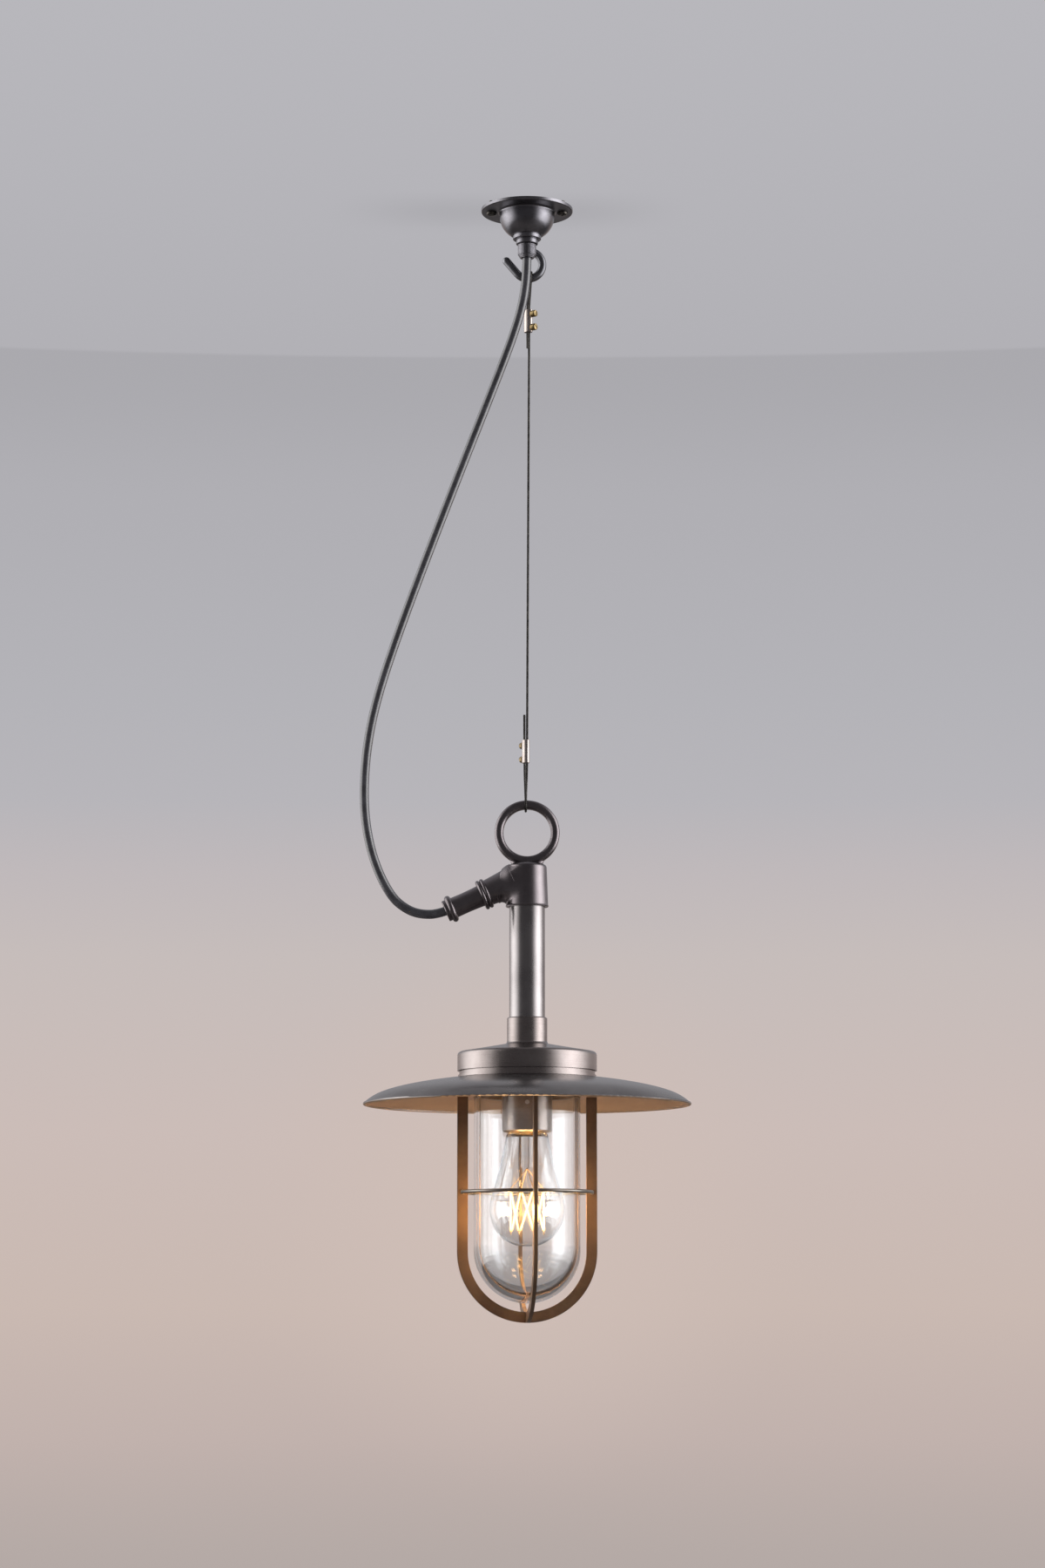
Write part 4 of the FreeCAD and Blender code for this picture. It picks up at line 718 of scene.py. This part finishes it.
def makeBraze():
    blobs = []
    for place in range(braze["count"]):
        bpy.ops.mesh.primitive_ico_sphere_add(subdivisions=4, radius=braze["size"] * mm)
        blob = bpy.context.object
        alone(blob)
        texture = bpy.data.textures.new("brazeRun" + str(place), "CLOUDS")
        texture.noise_scale = braze["grain"] * mm
        swell = blob.modifiers.new("swell", "DISPLACE")
        swell.texture = texture
        swell.strength = braze["rough"] * mm
        swell.texture_coords = "LOCAL"
        bpy.ops.object.modifier_apply(modifier="swell")
        turn = math.radians(braze["firstTurn"] + 360 / braze["count"] * place)
        aside, back = braze["hoopRadius"] * math.cos(turn), braze["hoopRadius"] * math.sin(turn)
        spot = Vector((aside, lampY + back, braze["height"])) * mm
        stretched = Matrix.Rotation(turn, 4, "Z") @ Matrix.Diagonal((*braze["stretch"], 1))
        settle(blob, Matrix.Translation(spot) @ stretched)
        blobs.append(blob)
    whole = joined(blobs, "hoopBraze")
    bpy.ops.object.shade_smooth()
    dress(whole, "silverBraze", "guard_brass")
    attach(whole, "guard")


makeBraze()


# The cast root that eases the arm of the ring head into its socket: a skin whose rows run from the arm over
# the crease to the socket's wall. Sizes in mm from the socket's axis. The reaches are those at the sides,
# then what is less on top and what is less below. The arm is given as places along it and its radius there.
# The crest is a soft shoulder over the root's ridge. Past "plain" the arm is an even cone.

root = {
    "z": -548.1, "fall": 24, "plain": 20,
    "arm": [(0, 12.4), (7, 12.4), (12, 14.2), (14.4, 12.8), (18.5, 11.9), (34, 10.5)],
    "top": -539.2, "topRadius": 15.8, "topGap": 0.6, "low": -573.6, "lowRadius": 16.9, "lowGap": 0.9,
    "round": 3.2, "armReach": (14.0, 7.0, 7.5), "wallReach": (10.5, 7.0, 6.5), "handle": 0.48,
    "search": 0.05, "probe": 0.5, "wallProbe": 0.85,
    "crest": {"start": 11.0, "end": 23.0, "high": 14.2, "low": 11.5},
    "around": 96, "across": 16, "inset": 0.04, "thick": 0.35, "inside": (-16, -6),
}
armFall = math.radians(root["fall"])
armWay = Vector((-math.cos(armFall), 0, -math.sin(armFall)))


def rootPoint(along, turn):                    # on the arm, turn is 0 at the back and 90 degrees on top
    radius = root["arm"][-1][1]
    for (start, first), (end, last) in zip(root["arm"], root["arm"][1:]):
        if start <= along <= end:
            radius = first + (last - first) * (along - start) / (end - start)
    up = radius * math.sin(turn)
    return Vector((-along * math.cos(armFall) - up * math.sin(armFall), radius * math.cos(turn),
                   root["z"] - along * math.sin(armFall) + up * math.cos(armFall)))


def wallRadius(z):
    share = (root["top"] - z) / (root["top"] - root["low"])
    radius = root["topRadius"] + (root["lowRadius"] - root["topRadius"]) * share
    above = max(0.0, z - root["top"] + root["round"])
    return radius - root["round"] + math.sqrt(max(0.0, root["round"] ** 2 - above ** 2))


def wallPoint(angle, z):
    return Vector((wallRadius(z) * math.cos(angle), wallRadius(z) * math.sin(angle), z))


def outsideWall(spot):
    return math.hypot(spot.x, spot.y) > wallRadius(spot.z)


def overCrest(spot):
    crest = root["crest"]
    centre = Vector((0, 0, root["z"]))
    along = (spot - centre).dot(armWay)
    outward = spot - centre - armWay * along
    share = min(1.0, max(0.0, (along - crest["start"]) / (crest["end"] - crest["start"])))
    least = crest["high"] + (crest["low"] - crest["high"]) * share * share * (3 - 2 * share)
    if outward.length < least and outsideWall(spot):
        return spot + outward.normalized() * (least - outward.length)
    return spot


def rootRow(turn):
    upward = math.sin(turn)
    high, deep = max(0.0, upward) ** 2, max(0.0, -upward) ** 2
    armReach, wallReach = [reach[0] - reach[1] * high - reach[2] * deep
                           for reach in (root["armReach"], root["wallReach"])]
    along = root["arm"][-1][0]
    while outsideWall(rootPoint(along, turn)) and along > 0:
        along -= root["search"]
    crease = rootPoint(along, turn)
    onArm = rootPoint(along + armReach, turn)
    fromArm = (rootPoint(along + armReach - root["probe"], turn) - onArm).normalized()
    angle = math.atan2(crease.y, crease.x) % (2 * math.pi)
    plain, across = rootPoint(root["plain"], turn), rootPoint(root["plain"], turn + math.pi)
    outward = (plain - (plain + across) / 2).normalized()
    aside = outward.dot(Vector((-math.sin(angle), math.cos(angle), 0)))
    rise = outward.z
    reach = wallReach / math.hypot(aside, rise)
    highest, lowest = root["top"] - root["topGap"], root["low"] + root["lowGap"]
    ends = [(angle + aside * part / wallRadius(crease.z), min(highest, max(lowest, crease.z + rise * part)))
            for part in (reach, reach * root["wallProbe"])]
    onWall = wallPoint(*ends[0])
    fromWall = (wallPoint(*ends[1]) - onWall).normalized()
    first = onArm + fromArm * (crease - onArm).length * root["handle"]
    second = onWall + fromWall * (crease - onWall).length * root["handle"]
    row = []
    for step in range(root["across"] + 1):
        t = step / root["across"]
        spot = (onArm * (1 - t) ** 3 + first * 3 * t * (1 - t) ** 2
                + second * 3 * t * t * (1 - t) + onWall * t ** 3)
        row.append(overCrest(spot) if 0 < step < root["across"] else spot)
    return row


def makeRoot():
    build = bmesh.new()
    rows = []
    for place in range(root["around"]):
        turn = 2 * math.pi * place / root["around"]
        rows.append([build.verts.new((spot + Vector((0, lampY, 0))) * mm) for spot in rootRow(turn)])
    for here, ahead in zip(rows, rows[1:] + rows[:1]):
        for step in range(root["across"]):
            build.faces.new((here[step], ahead[step], ahead[step + 1], here[step + 1]))
    build.normal_update()
    middle = Vector((root["inside"][0], lampY, root["z"] + root["inside"][1])) * mm
    if sum((face.calc_center_median() - middle).dot(face.normal) for face in build.faces) < 0:
        bmesh.ops.reverse_faces(build, faces=build.faces)
    for vert in [row[end] for row in rows for end in (0, -1)]:
        vert.co -= vert.normal * root["inset"] * mm
    mesh = bpy.data.meshes.new("armRoot")
    build.to_mesh(mesh)
    build.free()
    piece = linked("armRoot", mesh)
    alone(piece)
    shell = piece.modifiers.new("shell", "SOLIDIFY")
    shell.thickness = root["thick"] * mm
    shell.offset = -1
    bpy.ops.object.modifier_apply(modifier="shell")
    bpy.ops.object.shade_smooth_by_angle(angle=math.radians(50))
    dress(piece, "agedBrass", "aged_brass")
    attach(piece, "lamp")


makeRoot()
print("stage 5: brazed joints and arm root in place")


# Floor and lamps. The bands are the two softboxes as a mirror sees them: turn from the camera's side, reach
# either way in degrees, and brightness. A mirror sees the floor dim.

studio = {
    "floor": {"z": -1.75, "radius": 3.0, "pale": (0.78, 0.71, 0.67), "dim": (0.26, 0.24, 0.23)},
    "softboxes": [
        {"name": "leftBox", "at": (-2.2, -0.30, -0.45), "size": (1.5, 2.3), "power": 26,
         "colour": (1.0, 0.99, 0.97)},
        {"name": "rightBox", "at": (2.2, -0.45, -0.45), "size": (1.5, 2.3), "power": 30,
         "colour": (0.98, 0.99, 1.0)},
    ],
    "aim": (0.0, 0.0, -0.55),
    "bands": [
        {"turn": -97, "reach": 54, "bright": (3.35, 3.3, 3.25)},
        {"turn": 79, "reach": 46, "bright": (4.7, 4.65, 4.65)},
    ],
    "bandFoot": (-0.62, -0.32), "bandHead": (0.43, 0.88), "bandThroughLess": 0.4,
    "lampGlow": {"ring": 0.022, "z": -0.8162, "count": 4, "power": 0.18, "radius": 0.003,
                 "colour": (1.0, 0.60, 0.27)},
}


def makeFloor():
    floorLook = studio["floor"]
    bpy.ops.mesh.primitive_circle_add(vertices=96, radius=floorLook["radius"], fill_type="NGON",
                                      location=(0, 0, floorLook["z"]))
    floor = bpy.context.object
    floor.name = "floor"
    bench = Bench(bpy.data.materials.new("paleFloor"))
    mirrored = bench.node("ShaderNodeLightPath", out=3)
    shade = bench.blend(mirrored, opaque(floorLook["pale"]), opaque(floorLook["dim"]))
    bench.finish(bench.node("ShaderNodeBsdfDiffuse", {}, {"Color": shade}))
    floor.data.materials.append(bpy.data.materials["paleFloor"])


def makeLamps():
    for box in studio["softboxes"]:
        lamp = bpy.data.lights.new(box["name"], "AREA")
        lamp.shape = "RECTANGLE"
        lamp.size, lamp.size_y = box["size"]
        lamp.energy = box["power"]
        lamp.color = box["colour"]
        light = linked(box["name"], lamp)
        away = Vector(box["at"]) - Vector(studio["aim"])
        light.matrix_world = Matrix.Translation(box["at"]) @ away.to_track_quat("Z", "Y").to_matrix().to_4x4()
        light.visible_camera = False
        light.visible_glossy = False
    glow = studio["lampGlow"]
    lamp = bpy.data.lights.new("filamentGlow", "POINT")
    lamp.energy = glow["power"]
    lamp.color = glow["colour"]
    lamp.shadow_soft_size = glow["radius"]
    for place in range(glow["count"]):
        turn = 2 * math.pi * (place + 0.5) / glow["count"]
        light = linked("filamentGlow" + str(place), lamp)
        aside, back = glow["ring"] * math.cos(turn), glow["ring"] * math.sin(turn)
        light.location = (aside, lampAxis[1] + back, glow["z"])
        light.visible_camera = False


# The background, by the direction of view: the wall's colours from low to high, a darker strip under the
# ceiling's edge, the rose's soft shade on the ceiling and a warmer wall round the lit lamp. Reflections and
# refractions see the same wall, a dim room behind the camera and low down, and the two bands.

backdrop = {
    "heights": (-0.10, 0.40),
    "stops": [
        (0.0, (0.435, 0.380, 0.360)), (0.012, (0.455, 0.398, 0.378)), (0.05, (0.535, 0.445, 0.418)),
        (0.109, (0.590, 0.488, 0.445)), (0.216, (0.600, 0.507, 0.479)), (0.344, (0.566, 0.509, 0.497)),
        (0.413, (0.524, 0.485, 0.497)), (0.47, (0.475, 0.464, 0.491)), (0.555, (0.456, 0.451, 0.479)),
        (0.69, (0.436, 0.430, 0.458)), (0.811, (0.445, 0.439, 0.467)), (0.972, (0.479, 0.474, 0.503))],
    "strip": {"from": (0.214, 0.258), "edge": (0.2585, 0.2595), "dark": 0.09},
    "roseShade": {"x": -0.004, "z": 0.2967, "tall": (0.0, 0.006), "wide": (0.014, 0.052), "dark": 0.10},
    "warm": {"z": 0.03, "reach": (0.015, 0.085), "share": 0.75, "colour": (0.625, 0.515, 0.470)},
    "fill": (0.36, 0.36, 0.37), "room": (0.135, 0.13, 0.135), "roomFront": (-0.35, 0.45),
    "roomLow": (-0.32, -0.08), "roomThroughLess": 0.7,
}


def makeWorld():
    world = bpy.data.worlds.new("studioAir")
    bpy.context.scene.world = world
    bench = Bench(world)
    x, y, z = bench.axes(bench.node("ShaderNodeTexCoord", out=0))
    wall = bench.node("ShaderNodeValToRGB", {"stops": backdrop["stops"]},
                      {"Fac": z.ease(*backdrop["heights"])})
    strip, shade, warm = backdrop["strip"], backdrop["roseShade"], backdrop["warm"]
    under = z.ease(*strip["from"]) * (1.0 - z.ease(*strip["edge"]))
    offRose = abs(z - shade["z"]).ease(*shade["tall"])
    beside = (1.0 - offRose) * (1.0 - abs(x - shade["x"]).ease(*shade["wide"]))
    wall = bench.blend(under * strip["dark"] + beside * shade["dark"], wall, opaque((0.0, 0.0, 0.0)))
    offLamp = (x * x + (z - warm["z"]) * (z - warm["z"])) ** 0.5
    warmWall = bench.blend(warm["share"], wall, opaque(warm["colour"]))
    wall = bench.blend(1.0 - offLamp.ease(*warm["reach"]), wall, warmWall)
    seen = bench.node("ShaderNodeLightPath", out=0)
    through = bench.node("ShaderNodeLightPath", out=6)
    mirrored = bench.node("ShaderNodeLightPath", out=3)
    turn = x.turnFrom(0.0 - y) * (180 / math.pi)
    level = z.ease(*studio["bandFoot"]) * (1.0 - z.ease(*studio["bandHead"]))
    front = (0.0 - y).ease(*backdrop["roomFront"])
    low = z.ease(*backdrop["roomLow"])
    dim = (1.0 - (1.0 - front) * low) * (1.0 - through * backdrop["roomThroughLess"])
    room = bench.blend(dim, wall, opaque(backdrop["room"]))
    for band in studio["bands"]:
        share = 1.0 - abs(turn - band["turn"]).ease(0.0, band["reach"])
        share = share * level * (1.0 - through * studio["bandThroughLess"])
        room = bench.blend(share, room, opaque(band["bright"]))
    sharp = (mirrored + through).ease(0.0, 1.0)
    colour = bench.blend(seen, bench.blend(sharp, opaque(backdrop["fill"]), room), wall)
    back = bench.node("ShaderNodeBackground", {}, {"Color": colour, "Strength": 1.0})
    bench.finish(back, "ShaderNodeOutputWorld")


makeFloor()
makeLamps()
makeWorld()
bpy.context.scene.view_settings.view_transform = "Standard"
print("stage 6: floor, light and background made")
